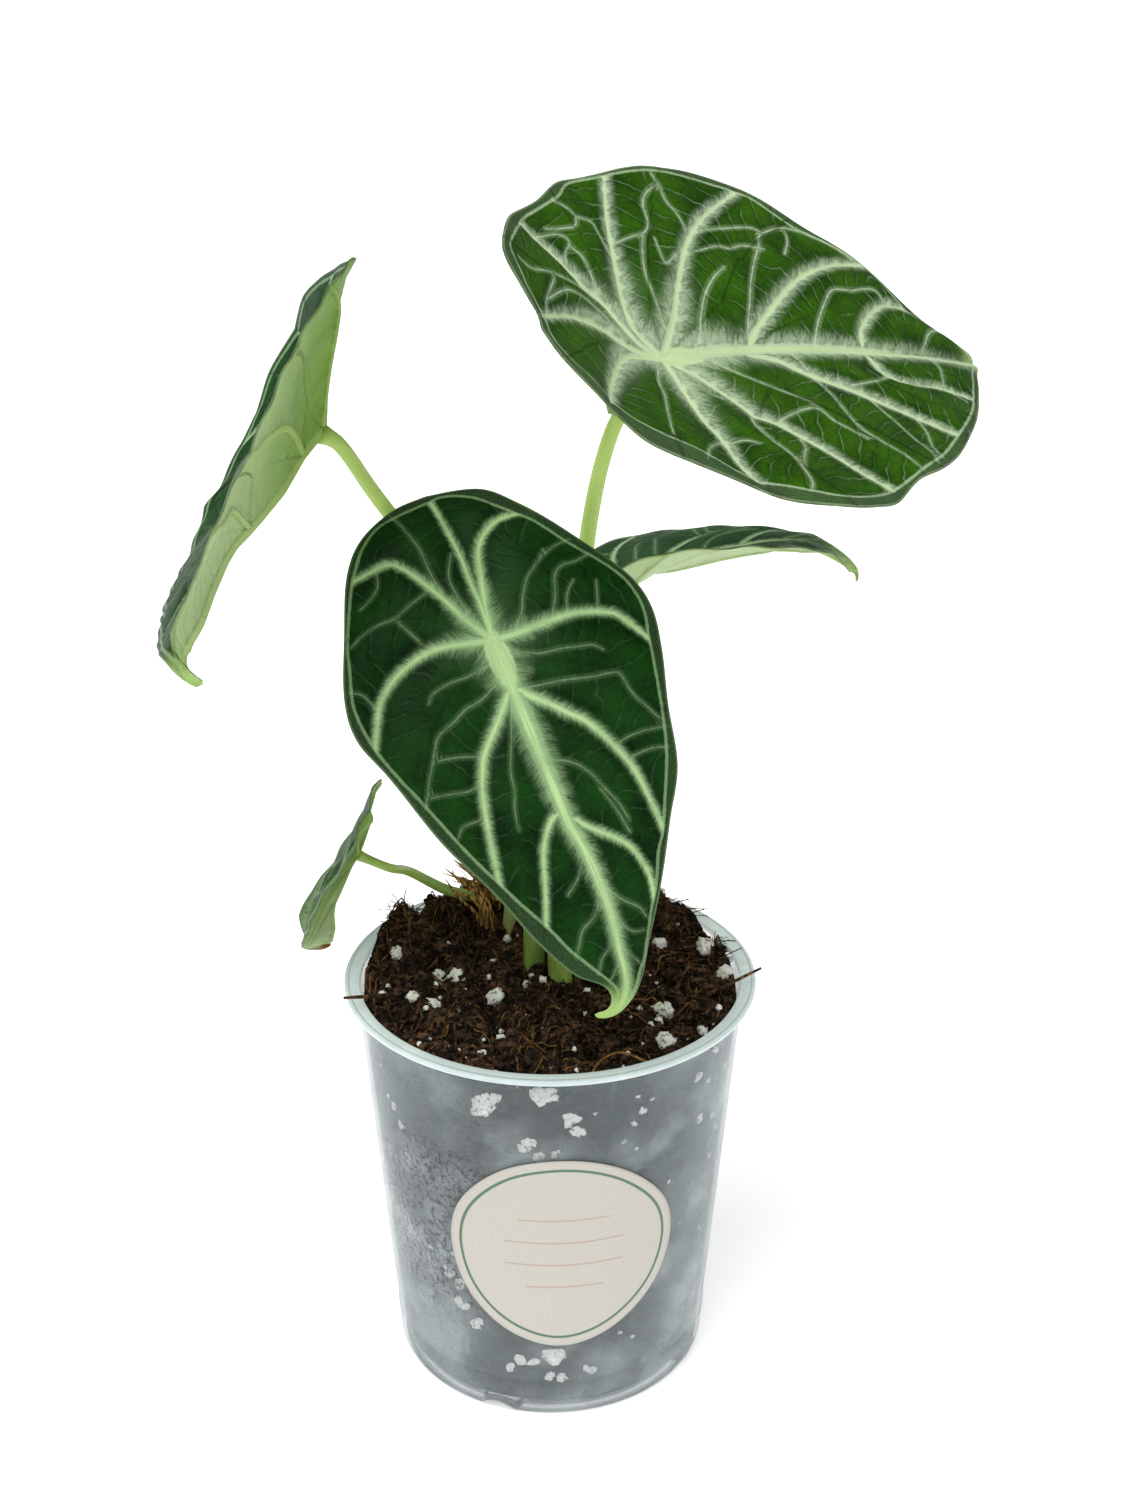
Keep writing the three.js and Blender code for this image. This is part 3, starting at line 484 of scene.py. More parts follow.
EVEN_LENGTH = 112
EVEN_REAR = 46.5
EVEN_WIDTH = 43


def even_flat(length, rear, width):
    """The even outline and its veins, stretched to the given sizes in mm."""
    def stretched(points):
        return [(x * (length / EVEN_LENGTH if x > 0 else rear / EVEN_REAR), y * width / EVEN_WIDTH)
                for x, y in points]

    side = {"outline": stretched(EVEN_OUTLINE), "veins": [stretched(vein) for vein in EVEN_VEINS]}
    return {
        "length": length, "left": side, "right": side, "rear": [(0, 0), (-rear, 0)],
        "midrib": [(0, 0), (length / 2, 0), (length, 0)],
    }


def mirrored(points):
    return [(x, -y) for x, y in points]


print("flat lengths in mm: front leaf", FRONT_FLAT["length"], "upper leaf", UPPER_FLAT["length"])

# %% [markdown]
# Between the thick veins run finer ones. They were sketched on the two leaves that face the viewer, and
# the other leaves carry the front leaf's, stretched to their own size. Each has half its width in mm
# and its points; here the right side's y is negative.

# %% Thin veins
FRONT_THIN = [
    (0.5, [(69, 2), (73, 4), (76, 6), (79, 9), (82, 10)]),
    (0.5, [(74, 0), (77, -3), (79, -7), (82, -9), (85, -11)]),
    (0.5, [(-6, -4), (-16, -7), (-23, -8), (-30, -8), (-36, -9), (-41, -10), (-44, -11)]),
    (0.45, [(5, 0), (6, 6), (8, 10), (9, 16), (10, 20), (11, 24), (13, 26)]),
    (0.4, [(15, 3), (17, 13), (18, 17), (19, 21), (20, 27), (22, 28), (27, 29), (31, 31), (35, 33)]),
    (0.3, [(0, 6), (-4, 10), (-8, 12), (-12, 15), (-15, 19), (-18, 22)]),
    (0.35, [(0, 17), (-5, 20), (-10, 22), (-12, 25), (-12, 29), (-13, 33)]),
    (0.2, [(1, 21), (-4, 23), (-7, 26)]),
    (0.2, [(3, 29), (-2, 31), (-5, 32)]),
    (0.35, [(6, -4), (7, -10), (7, -15), (8, -20), (10, -22)]),
    (0.4, [(10, -2), (12, -5), (14, -9), (15, -14), (17, -18), (19, -23), (23, -26), (31, -31), (35, -33)]),
    (0.3, [(28, -14), (26, -20), (25, -26), (26, -28)]),
    (0.3, [(35, 2), (38, 7), (42, 10), (47, 12), (52, 14), (57, 15)]),
    (0.25, [(15, -1), (25, -5), (34, -9), (39, -10), (44, -12), (49, -13)]),
    (0.3, [(43, -19), (43, -22), (43, -26), (45, -28)]),
    (0.35, [(82, 1), (86, -2), (88, -5), (92, -7)]),
    (0.3, [(89, 1), (92, -2), (95, -4)]),
    (0.3, [(86, 1), (89, 2), (92, 4)]),
    (0.3, [(-18, -12), (-16, -17), (-14, -22), (-14, -26), (-13, -31), (-11, -35)]),
    (0.3, [(-6, -18), (-10, -20), (-14, -22)]),
    (0.3, [(42, 20), (42, 23), (42, 28), (43, 32)]),
    (0.2, [(-30, -21), (-25, -22), (-22, -25), (-20, -29)]),
    (0.2, [(-26, -1), (-20, -4), (-15, -4), (-9, -3)]),
    (0.25, [(69, -7), (66, -3), (62, 0)]),
    (0.25, [(60, 14), (54, 13), (47, 11)]),
    (0.25, [(7, -35), (2, -37), (0, -40)]),
    (0.25, [(34, -17), (35, -21), (34, -26), (33, -32)]),
    (0.2, [(38, 19), (37, 23), (37, 28), (38, 34)]),
    (0.25, [(-15, 19), (-18, 25), (-19, 30)]),
    (0.25, [(57, 23), (49, 22), (42, 22)]),
    (0.2, [(74, 2), (80, 3), (84, 5), (85, 8)]),
]
UPPER_THIN = [
    (0.55, [(31, 3), (34, 10), (37, 16), (40, 22), (44, 28), (48, 33), (51, 37), (63, 40), (76, 36),
            (85, 29)]),
    (0.7, [(13, 2), (16, 8), (18, 12), (22, 18), (27, 23), (32, 26)]),
    (0.5, [(54, 1), (58, 8), (64, 15), (69, 19), (76, 19), (82, 20), (87, 20), (90, 17)]),
    (0.5, [(97, 0), (102, 6), (107, 8), (112, 8), (117, 5), (120, 2)]),
    (0.4, [(21, 56), (22, 53), (22, 48), (24, 44), (25, 40), (25, 36)]),
    (0.35, [(21, 53), (16, 50), (13, 46), (12, 40), (9, 37), (4, 36), (0, 35)]),
    (0.25, [(9, 37), (6, 31), (4, 24), (4, 18), (4, 11), (5, 6)]),
    (0.35, [(-20, 46), (-15, 44), (-13, 42), (-7, 41), (-6, 38), (-5, 33)]),
    (0.3, [(-13, 42), (-16, 38), (-28, 36)]),
    (0.3, [(-35, 32), (-24, 35), (-20, 33), (-23, 29), (-23, 24)]),
    (0.3, [(-20, 32), (-17, 29), (-16, 25), (-15, 19), (-12, 15)]),
    (0.35, [(27, 39), (33, 39), (40, 39), (48, 39), (52, 37)]),
    (0.3, [(18, 31), (13, 28), (12, 31), (12, 35)]),
    (0.4, [(-8, 10), (-14, 16), (-19, 19), (-27, 20), (-37, 20), (-46, 18), (-52, 19)]),
    (0.3, [(13, 0), (18, -6), (22, -10), (30, -17), (34, -20), (37, -24)]),
    (0.55, [(45, -1), (46, -8), (46, -18), (45, -25), (45, -32), (48, -38), (52, -44), (54, -50)]),
    (0.35, [(20, -27), (30, -24), (36, -24), (38, -29), (41, -33), (44, -37)]),
    (0.5, [(14, -24), (11, -28), (12, -35), (14, -41), (14, -46), (13, -52), (11, -55)]),
    (0.4, [(23, -35), (22, -38), (18, -42), (15, -46)]),
    (0.35, [(-2, -33), (-10, -36), (-16, -41)]),
    (0.35, [(-5, -4), (-10, -11), (-12, -16), (-18, -25), (-22, -32)]),
    (0.3, [(-1, -34), (4, -34), (7, -36)]),
    (0.35, [(74, -10), (68, -13), (61, -14), (55, -14)]),
    (0.4, [(98, -2), (97, -8), (95, -14), (96, -17), (99, -20)]),
    (0.35, [(60, -18), (60, -24), (61, -30), (62, -37), (64, -43), (62, -48)]),
    (0.3, [(71, -28), (70, -34), (67, -40), (67, -45)]),
    (0.25, [(49, 32), (42, 33), (37, 32), (33, 33), (26, 32)]),
    (0.25, [(57, 31), (60, 35), (61, 39)]),
    (0.3, [(-2, -12), (3, -11), (5, -16), (8, -18)]),
    (0.3, [(-35, 18), (-41, 11), (-42, 7)]),
    (0.35, [(-41, 11), (-31, 16), (-24, 16), (-20, 14), (-16, 11)]),
]


def stretched_net(net, flat):
    """The front leaf's thin veins, stretched to another leaf."""
    tip = flat["length"] / FRONT_FLAT["length"]
    rear = flat["rear"][-1][0] / FRONT_FLAT["rear"][-1][0]
    wide = max(y for _, y in flat["left"]["outline"]) / EVEN_WIDTH
    return [(half, [(x * (tip if x > 0 else rear), y * wide) for x, y in line]) for half, line in net]


print("thin veins:", len(FRONT_THIN), "on the front leaf,", len(UPPER_THIN), "on the upper leaf")


# %% [markdown]
# Each leaf is told where its stem joins (mm), which way it heads, dips and rolls (degrees), and how it
# bends (radians): droop along the midrib, fold between the halves, curl of each half and hook of the
# drip tip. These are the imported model's own values, so the blades fall on its solids. Puff and wave are
# how far the panels swell and the margin waves, in mm, and cuts are how finely the blade is divided. The
# rise lists say how far the left margin, right margin and midrib are turned up, as (x, mm).

# %% The five leaves
LEAVES = [
    dict(
        name="front_leaf", join=(-14.8, -30, 240.6), heading=-53, pitch=50, roll=25,
        droop=0.5, droop_power=2, droop_span=107, rear_bend=0.4, rear_span=42,
        fold=0.05, curl_left=0.3, curl_right=0, curl_span=43, tail=88, hook_down=-1, hook_side=-2.3,
        puff=1.7, wave=0.7, waves=5, flat=FRONT_FLAT, thin=FRONT_THIN, cuts=(34, 100),
        rear_width=(1.1, 0.5), midrib_width=(4.1, 1.0),
        stem=dict(root=(3, 4), lean=(-0.06, 0.1), radii=(3.9, 2.1), path=[(0, 13, 160), (-8, 6, 205)]),
    ),
    dict(
        name="upper_leaf", join=(29.7, -5, 309.3), heading=36.5, pitch=7.4, roll=37.3,
        droop=0.165, droop_power=2.5, droop_span=105, rear_bend=-0.492, rear_span=42,
        fold=0.151, curl_left=0, curl_right=-0.096, curl_span=43, tail=117, hook_down=2.4,
        hook_side=-0.3, puff=1.9, wave=1, waves=6, flat=UPPER_FLAT, thin=UPPER_THIN, cuts=(32, 104),
        rear_width=(1.6, 0.5),
        stem=dict(root=(10.5, 11), lean=(0.02, 0), radii=(3.7, 1.9),
                  path=[(10, 13, 200), (10, 12, 250), (17.5, 5.5, 288)]),
    ),
    dict(
        name="left_leaf", join=(-60.6, -5.2, 289.4), heading=257.3, pitch=9.5, roll=63.3,
        droop=-0.016, droop_power=1.5, droop_span=110, rear_bend=-0.933, rear_span=49,
        fold=0.345, curl_left=0.331, curl_right=-0.069, curl_span=52, tail=103, hook_down=2.68,
        hook_side=-0.51, puff=1.5, wave=0.35, waves=13, flat=even_flat(123, 49, 51.5), thin=FRONT_THIN,
        rise_left=[(-49, 0), (20, 1.2), (35, 1.3), (48, 0.5), (60, -0.3), (73, -0.7), (104, -0.6), (110, 1),
                   (123, 0)],
        rise_right=[(-45, 0), (-40, -0.3), (-31, 2), (-20, 2), (-13, 2.8), (-7, 1.5), (0, -0.1), (7, -1.5),
                    (14, -2.1), (41, -1.9), (54, -1.6), (67, -0.7), (98, -0.6), (123, 0)],
        rise_middle=[(-36, -1), (-30, 1), (-17, 2.5), (-8, 1.5), (0, 0), (15, 0.8), (34, 0.1), (47, 0.8),
                     (64, 2.3), (72, 2), (85, 0.5), (98, -1.5), (110, -2.5), (123, 0)],
        cuts=(24, 72), rear_width=(0.8, 0.35),
        stem=dict(root=(-4.8, 13), lean=(-0.03, 0.02), radii=(3.4, 1.9), reach=4,
                  path=[(-13, 14, 185), (-30, 10, 240), (-47.5, 2, 271)]),
    ),
    dict(
        name="back_leaf", join=(22.2, 62.5, 221.8), heading=9.4, pitch=-15.7, roll=-4.9,
        droop=0.83, droop_power=3, droop_span=70, rear_bend=0.1, rear_span=40,
        fold=0.037, curl_left=-0.101, curl_right=-0.829, curl_span=38, tail=70, hook_down=1.4,
        hook_side=0, puff=1.3, wave=0.3, waves=9, flat=even_flat(80, 40, 38), thin=FRONT_THIN,
        rise_left=[(-40, 0), (14, -1.5), (29, -2.5), (42, -1.5), (55, -1), (61, 0.2), (73, -0.8), (80, 0)],
        rise_right=[(-40, 0), (14, -0.2), (29, -1.3), (48, -1), (61, -0.8), (67, -2.2), (73, -3.2), (80, 0)],
        rise_middle=[(0, 0), (9, 1.5), (18, 1.8), (40, 1.2), (55, 0.3), (67, -1.2), (75, -2), (80, 0)],
        cuts=(22, 64), rear_width=(0.8, 0.35),
        stem=dict(root=(4, 20.5), lean=(0.1, 0.16), radii=(3.3, 1.8),
                  path=[(14, 40, 160), (23.5, 57, 198)]),
    ),
    dict(
        name="small_leaf", join=(-56.8, 13.1, 156.2), heading=124.8, pitch=58, roll=-45,
        droop=-0.08, droop_power=1.5, droop_span=50, rear_bend=-0.14, rear_span=22.5,
        fold=0.277, curl_left=-0.066, curl_right=0.529, curl_span=28, tail=44, hook_down=3,
        hook_side=-1.1, puff=0.7, wave=0.3, waves=9, flat=even_flat(55, 22.5, 27.8), thin=FRONT_THIN,
        rise_left=[(-22, -0.5), (-21, -1.8), (-18, -4), (-12, -4.2), (-8, -3.4), (7, -3.9), (21, -2.5),
                   (30, -1), (46, 1)],
        rise_right=[(-22, 0), (-15, -1), (-3, 0.2), (7, 1.5), (16, 1), (21, 2.2), (30, 2.6), (38, 4.8),
                    (46, 6), (55, 0)],
        rise_middle=[(0, 0), (6, 0.6), (26, 0.4), (32, -0.8), (38, -3), (44, -4), (50, -3), (55, 0)],
        cuts=(18, 48), rear_width=(0.8, 0.35),
        stem=dict(root=(-20, 34.5), lean=(-0.35, -0.1), radii=(2.2, 1.2), straight=3,
                  path=[(-31, 30, 135.5), (-42, 22, 146)]),
    ),
]
for leaf in LEAVES:
    turn = Euler([math.radians(leaf[key]) for key in ("roll", "pitch", "heading")], "XYZ")
    leaf["turn"] = np.array(turn.to_matrix())
    leaf["up"] = leaf["turn"][:, 2]
    print(leaf["name"], "faces", leaf["up"].round(2))

# %% [markdown]
# The blade is a patchwork of panels, each between two neighbouring thick veins. Inside a panel the
# surface puffs up, and at the thin veins it sinks a little, which makes the quilted look. The panels
# are laid out flat, then bent: the midrib follows its droop, and each half lies on an arc.

# %% From flat panels to a bent surface
CORE_TIP_SHARE = 0.78
PUFF_PANEL_WIDTH = 14
PUFF_END_POWER = 0.7
SPINE_STEPS = 24
LEAST_CURL = 1e-5
NORMAL_STEP = 0.05
BLADE_THICKNESS = 1.0


def side_ribs(flat, side, rear, divisions, rings):
    """Rows of flat points from the tip line to the rear line, how much each puffs, and its place
    round the margin."""
    margin = Line(side["outline"])
    tip_line = [(flat["length"] * CORE_TIP_SHARE, 0), (flat["length"], 0)]
    lines = [Line(points) for points in (tip_line, *side["veins"], rear)]
    shares = [0] + [margin.nearest_share(vein[-1]) for vein in side["veins"]] + [1]
    w = np.linspace(0, 1, rings + 1)
    rows, puffs, places = [], [], []
    for panel in range(len(lines) - 1):
        near, far = lines[panel].at(w), lines[panel + 1].at(w)
        width = np.linalg.norm(near - far, axis=1)
        for i in range(1 if panel == 0 else 0, divisions):
            s = i / divisions
            place = shares[panel] + (shares[panel + 1] - shares[panel]) * s
            reach = margin.at(place) - (near[-1] * (1 - s) + far[-1] * s)
            rows.append(near * (1 - s) + far * s + reach * (w * w)[:, None])
            swell = math.sin(math.pi * s) * np.minimum(1, width / PUFF_PANEL_WIDTH)
            puffs.append(swell * np.sin(math.pi * w) ** PUFF_END_POWER)
            places.append(place)
    return np.array(rows), np.array(puffs), np.array(places)


def spine(leaf, x):
    """Point, sideways and upward directions of the bent midrib at each x."""
    length = leaf["flat"]["length"]

    def bend(at):
        past = np.maximum(0, (at - leaf["tail"]) / (length - leaf["tail"]))
        droop = leaf["droop"] * np.abs(at / leaf["droop_span"]) ** leaf["droop_power"]
        rear = leaf["rear_bend"] * at / leaf["rear_span"]
        return np.where(at > 0, droop, rear) + leaf["hook_down"] * past**2, leaf["hook_side"] * past**2

    share = (np.arange(SPINE_STEPS) + 0.5) / SPINE_STEPS
    down, side = bend(x[..., None] * share)
    steps = [np.cos(down) * np.cos(side), np.sin(side), -np.sin(down) * np.cos(side)]
    point = np.stack([step.mean(-1) * x for step in steps], -1)
    down, side = bend(x)
    across = np.stack([-np.sin(side) * np.cos(down), np.cos(side), np.sin(side) * np.sin(down)], -1)
    up = np.stack([np.sin(down), 0 * down, np.cos(down)], -1)
    return point, across, up


def blade_point(leaf, flat_points, lift):
    """Where flat points come to lie, before the blade is turned to its place; lift is above the blade."""
    x, y = flat_points[..., 0], flat_points[..., 1]
    point, across, up = spine(leaf, x)
    curl = np.where(y > 0, leaf["curl_left"], leaf["curl_right"]) / leaf["curl_span"]
    curl = np.where(np.abs(curl) < LEAST_CURL, LEAST_CURL, curl)
    start = -leaf["fold"]
    end = start + curl * np.abs(y)
    out = (np.sin(end) - np.sin(start)) / curl * np.sign(y)
    rise = (np.cos(end) - np.cos(start)) / curl + lift
    return point + across * out[..., None] + up * rise[..., None]


def blade_normal(leaf, flat_points):
    here = blade_point(leaf, flat_points, 0)
    ahead = blade_point(leaf, flat_points + (NORMAL_STEP, 0), 0) - here
    side = np.where(flat_points[..., 1] < 0, -NORMAL_STEP, NORMAL_STEP)
    beside = flat_points + np.stack([0 * side, side], -1)
    aside = (blade_point(leaf, beside, 0) - here) * np.sign(side)[..., None]
    return unit(np.cross(ahead, aside))


print("blade formulas ready")

# %% [markdown]
# The veins of the real leaf are broad at the stem and narrow towards the margin. They could be modelled
# as ridges alone, but their hairs and colours are far finer than the mesh. So each point stores what the
# finish needs: its flat place and face, how far it is from the nearest thick vein, thin vein and margin,
# and how wide the vein is there.

# %% What each point of a blade stores
VEIN_TAPER = 0.7
THIN_TAPER = 0.75
BORDER_INSET = 1.7
LEAD_FADE = 4.0
# Added once more for each next vein, so that no two have the same hairs
NEXT_VEIN = 41
# Half widths in mm at the stem and at the margin
MIDRIB_WIDTH = (2.9, 1.0)
SIDE_VEIN_WIDTH = (1.75, 0.6)
TIP_VEIN_WIDTH = (1.1, 0.5)


def leaf_lines(leaf):
    """The thick veins as lines, and the half widths of each."""
    flat = leaf["flat"]
    mirror = [mirrored(vein) for vein in flat["right"]["veins"]]
    sides = [TIP_VEIN_WIDTH] + [SIDE_VEIN_WIDTH] * (len(mirror) - 1)
    thick = [flat["midrib"], flat["rear"], *flat["left"]["veins"], *mirror]
    midrib = leaf.get("midrib_width", MIDRIB_WIDTH)
    return [Line(points) for points in thick], [midrib, leaf["rear_width"], *sides, *sides]


def blade_fields(leaf, flat_points, size):
    """What the finish reads at each flat point."""
    flat = leaf["flat"]
    thick, widths = leaf_lines(leaf)
    half_widths = [wide / 2 for wide, _ in widths]
    away, _, along, share, which, lead = reach_of_lines(flat_points, thick, half_widths)
    wide, narrow = np.array(widths)[which.astype(int)].T
    half_width = (wide + (narrow - wide) * share**VEIN_TAPER) * size
    net = leaf["thin"] if flat in (FRONT_FLAT, UPPER_FLAT) else stretched_net(leaf["thin"], flat)
    thin_lines = [Line(line) for _, line in net]
    thin_away, side, _, thin_share, thin_which, _ = reach_of_lines(flat_points, thin_lines)
    thin_half = np.array([half for half, _ in net])[thin_which.astype(int)] * (1 - THIN_TAPER * thin_share)
    outlines = [Line(flat["left"]["outline"]), Line(mirrored(flat["right"]["outline"]))]
    margin = reach_of_lines(flat_points, outlines)[0]
    edge = margin - BORDER_INSET * size
    if "border" in flat:
        border_away, border_side, *_ = reach_of_lines(flat_points, [Line(flat["border"])])
        edge = border_away * border_side
    return {
        "vein": np.stack([away, along + NEXT_VEIN * which, half_width], -1),
        "thin": np.stack([thin_away * side, thin_away, thin_half], -1),
        "edge": edge,
        "lead": np.clip(lead / LEAD_FADE, 0, 1),
        "margin": margin,
    }


print("a side vein narrows from", SIDE_VEIN_WIDTH[0] * 2, "to", SIDE_VEIN_WIDTH[1] * 2, "mm")

# %% [markdown]
# A real blade is a thin skin, sunk along its veins above and ribbed below. A flat sheet with a thickness
# modifier would lose the ribs, so both faces are made from the same rows of points: the upper one is
# lifted and sunk, and the lower one lies under it by the thickness at that spot.

# %% Blades
VEIN_RIDGE = 0.7
VEIN_SINK = 0.55
VEIN_SPREAD = 1.3
THIN_SINK = 0.5
THIN_SPREAD = 1.1
THIN_FULL = 0.4
# The sinking of the veins and the thickness fade out this near the margin
SINK_FADE = 4
RIM_FADE = 2.5
# Share of the thickness that is there at the margin, and how much more there is inside it
RIM_SHARE = (0.45, 0.35)
RISE_POWER = 4
FULL_SIZE = 110
# Sets the noise on the under face apart from that on the upper one
UNDER_OFFSET = 60


def margin_rise(leaf, rows, w):
    """How far the margins and the midrib are turned up, from the leaf's own lists of (x, mm)."""
    x, y = rows[..., 0], rows[..., 1]
    left, right, middle = (np.interp(x, *zip(*leaf.get(key, [(0, 0)])))
                           for key in ("rise_left", "rise_right", "rise_middle"))
    return np.where(y > 0, left, right) * w**RISE_POWER + middle * (1 - w**2)


def blade_rows(leaf, w):
    """All rows of flat points, tip first and then round the blade, their puff and place round the margin."""
    divisions, rings = leaf["cuts"]
    flat = leaf["flat"]
    left, left_puff, left_place = side_ribs(flat, flat["left"], flat["rear"], divisions, rings)
    right, right_puff, right_place = side_ribs(flat, flat["right"], mirrored(flat["rear"]), divisions, rings)
    tip = np.stack([flat["length"] * (CORE_TIP_SHARE + (1 - CORE_TIP_SHARE) * w), 0 * w], -1)[None]
    rear = Line(flat["rear"]).at(w)[None]
    still = np.zeros((1, rings + 1))
    rows = np.concatenate([tip, left, rear, (right * (1, -1))[::-1]])
    puff = np.concatenate([still, left_puff, still, right_puff[::-1]])
    place = np.concatenate([[0], left_place, [0], right_place[::-1]])[:, None]
    return rows, puff, place


def blade_faces(count, rings):
    """Faces of both sides and the rim, for so many rows that go round and so many rings."""
    columns = rings + 1
    faces = []
    for ring in range(rings):
        for row in range(count):
            a, b = row * columns + ring, (row + 1) % count * columns + ring
            faces.append((a, a + 1, b + 1, b))
    below = count * columns
    faces += turned_over(faces, below)
    for row in range(count):
        a, b = row * columns + rings, (row + 1) % count * columns + rings
        faces.append((a, a + below, b + below, b))
    return faces


def make_blade(leaf):
    rings = leaf["cuts"][1]
    length = leaf["flat"]["length"]
    w = np.linspace(0, 1, rings + 1)
    rows, puff, place = blade_rows(leaf, w)
    flat_points = rows.reshape(-1, 2)
    size = min(1.0, length / FULL_SIZE)
    fields = blade_fields(leaf, flat_points, size)
    away, _, half_width = fields["vein"].T
    _, thin_away, thin_half = fields["thin"].T
    margin = fields["margin"]
    groove = np.exp(-((away / (half_width * VEIN_SPREAD)) ** 2))
    sunk = np.exp(-((thin_away / THIN_SPREAD) ** 2)) * np.minimum(1, thin_half / THIN_FULL)
    inside = np.clip(margin / SINK_FADE, 0, 1)
    wave = leaf["wave"] * w**4 * np.sin(2 * math.pi * leaf["waves"] * place) * np.sin(math.pi * place)
    lift = (leaf["puff"] * puff + wave).ravel() + margin_rise(leaf, rows, w).ravel()
    lift -= (THIN_SINK * sunk * (1 - groove) + VEIN_SINK * groove) * inside * size
    top = blade_point(leaf, flat_points, lift)
    rim = np.clip(margin / RIM_FADE, 0, 1) ** 0.5
    thickness = BLADE_THICKNESS * (RIM_SHARE[0] + RIM_SHARE[1] * rim) + VEIN_RIDGE * size * groove * inside
    bottom = top - blade_normal(leaf, flat_points) * thickness[:, None]
    points = np.concatenate([top, bottom]) @ leaf["turn"].T + leaf["join"]
    points = np.clip(points, cad_low, cad_high)
    under = np.repeat([0.0, 1.0], len(flat_points))
    twice = np.concatenate([flat_points, flat_points])
    stored = {key: np.concatenate([values, values]) for key, values in fields.items()}
    stored["flat"] = np.column_stack([twice, under * UNDER_OFFSET])
    stored["under"] = under
    stored["tip"] = twice[:, 0] / length
    return make_piece(leaf["name"] + "_surface", points, blade_faces(len(rows), rings), stored, merge_mm=0.01)


print("thickest at a vein:", BLADE_THICKNESS * sum(RIM_SHARE) + VEIN_RIDGE, "mm")

# %% [markdown]
# The upper face is deep green and satiny and the under face pale and matt. The pattern could be painted
# on the points, but that would blur it, so shader arithmetic draws it from what the points store. One
# finish serves both faces. This cell names what it reads, and the next ones add a mark at a time.

# %% What the leaf finish reads
VEIN_BODY = 0.7


def leaf_skin(name, looks):
    skin = Finish(name, Coat_Roughness=0.3, Specular_IOR_Level=0.05)
    skin.looks = looks
    skin.flat = skin.stored("flat", "Vector")
    skin.away, skin.along, skin.half_width = skin.split(skin.stored("vein", "Vector"))
    skin.edge = skin.stored("edge")
    skin.along_leaf = skin.stored("tip")
    skin.inside = skin.edge.ramp(-0.6, 0.5).most(skin.along_leaf.ramp(0.8, 0.9))
    skin.outer = skin.away - skin.half_width * VEIN_BODY
    skin.tone = skin.cloud(skin.flat, 0.07, 4.0, 0.6)
    skin.fine = skin.cloud(skin.flat, 2.2, 4.0, 0.75).ramp(0.3, 0.66)
    skin.junction = skin.distance(skin.flat, (0, 0, 0)).ramp(looks["haze"], 2.0)
    return skin


print("leaf finish reads its points")

# %% [markdown]
# A thick vein is silvery green with a paler core, and its edges are brushed out in fine hairs that lean
# towards the margin. So the noise that frays them is stretched along a hair: fine from hair to hair,
# coarse along each. Over the stem the veins run together into one pale knuckle.

# %% Thick veins
HAIR_LEAN = 0.6
HAIRS_PER_MM = 1.7
KNUCKLE_AHEAD = 5.5
KNUCKLE_LENGTH = 8.5


def thick_veins(skin):
    """Adds hair (the noise), frayed (the hairs), body, core, knuckle and flutes."""
    looks, away, half_width, outer = skin.looks, skin.away, skin.half_width, skin.outer
    lean = skin.along - away * HAIR_LEAN
    skin.hair = hair = skin.cloud(skin.join(lean * HAIRS_PER_MM, away * 0.35, half_width), 1.0, 4.0, 0.75)
    tuft = skin.cloud(skin.join(lean * 0.3, 0.0, half_width * 2.0), 1.0, 2.0)
    full_length = (half_width * (skin.junction * 1.3 + 1) + 0.7) * looks["feather"]
    length = full_length * (hair.ramp(0.32, 0.7) + 0.12) * (tuft.ramp(0.3, 0.65) * 0.7 + 0.4)
    fade = (1 - outer / full_length).least(1.0).most(0.0)
    powder = fade**1.4 * (hair.ramp(0.25, 0.75) * 0.6 + 0.4) * (skin.fine * 0.6 + 0.4)
    powder = powder * (tuft.ramp(0.25, 0.6) * 0.5 + 0.5)
    skin.frayed = ((outer - length).ramp(1.0, -1.0) * fade * 0.4 + powder * 0.85) * skin.inside
    x, y, _ = skin.split(skin.flat)
    x, y = (x - KNUCKLE_AHEAD) * (1 / KNUCKLE_LENGTH), y * (1 / looks["knuckle"])
    skin.knuckle = (x * x + y * y - hair * 0.6).ramp(1.0, 0.4)
    body = (outer - (hair - 0.42) * 2.0 - skin.fine * 0.2).ramp(0.7, -0.5) * skin.inside
    skin.body = body.most(skin.knuckle)
    skin.core = (away - half_width * 0.32 - (hair - 0.5) * 0.9).ramp(0.6, -0.4) * skin.inside
    skin.flutes = skin.cloud(skin.join(away * 2.4, skin.along * 0.1, half_width), 1.0, 3.0, 0.6)


print("hairs repeat about every", round(1 / HAIRS_PER_MM, 2), "mm along a vein")

# %% [markdown]
# Between the thick veins lie a net of thin ones, a pale vein that follows the margin with a darker strip
# outside it, and faint rungs from vein to vein. The thin veins come from lines that were drawn. The rungs
# are too many to draw, so they repeat along the thick vein, and noise bends and breaks them.

# %% Thin veins and rungs
RUNG_SPACING = 5.4
RUNG_HALF_WIDTH = 0.34
RUNG_LEAN = 0.45
THIN_EDGE = 0.36


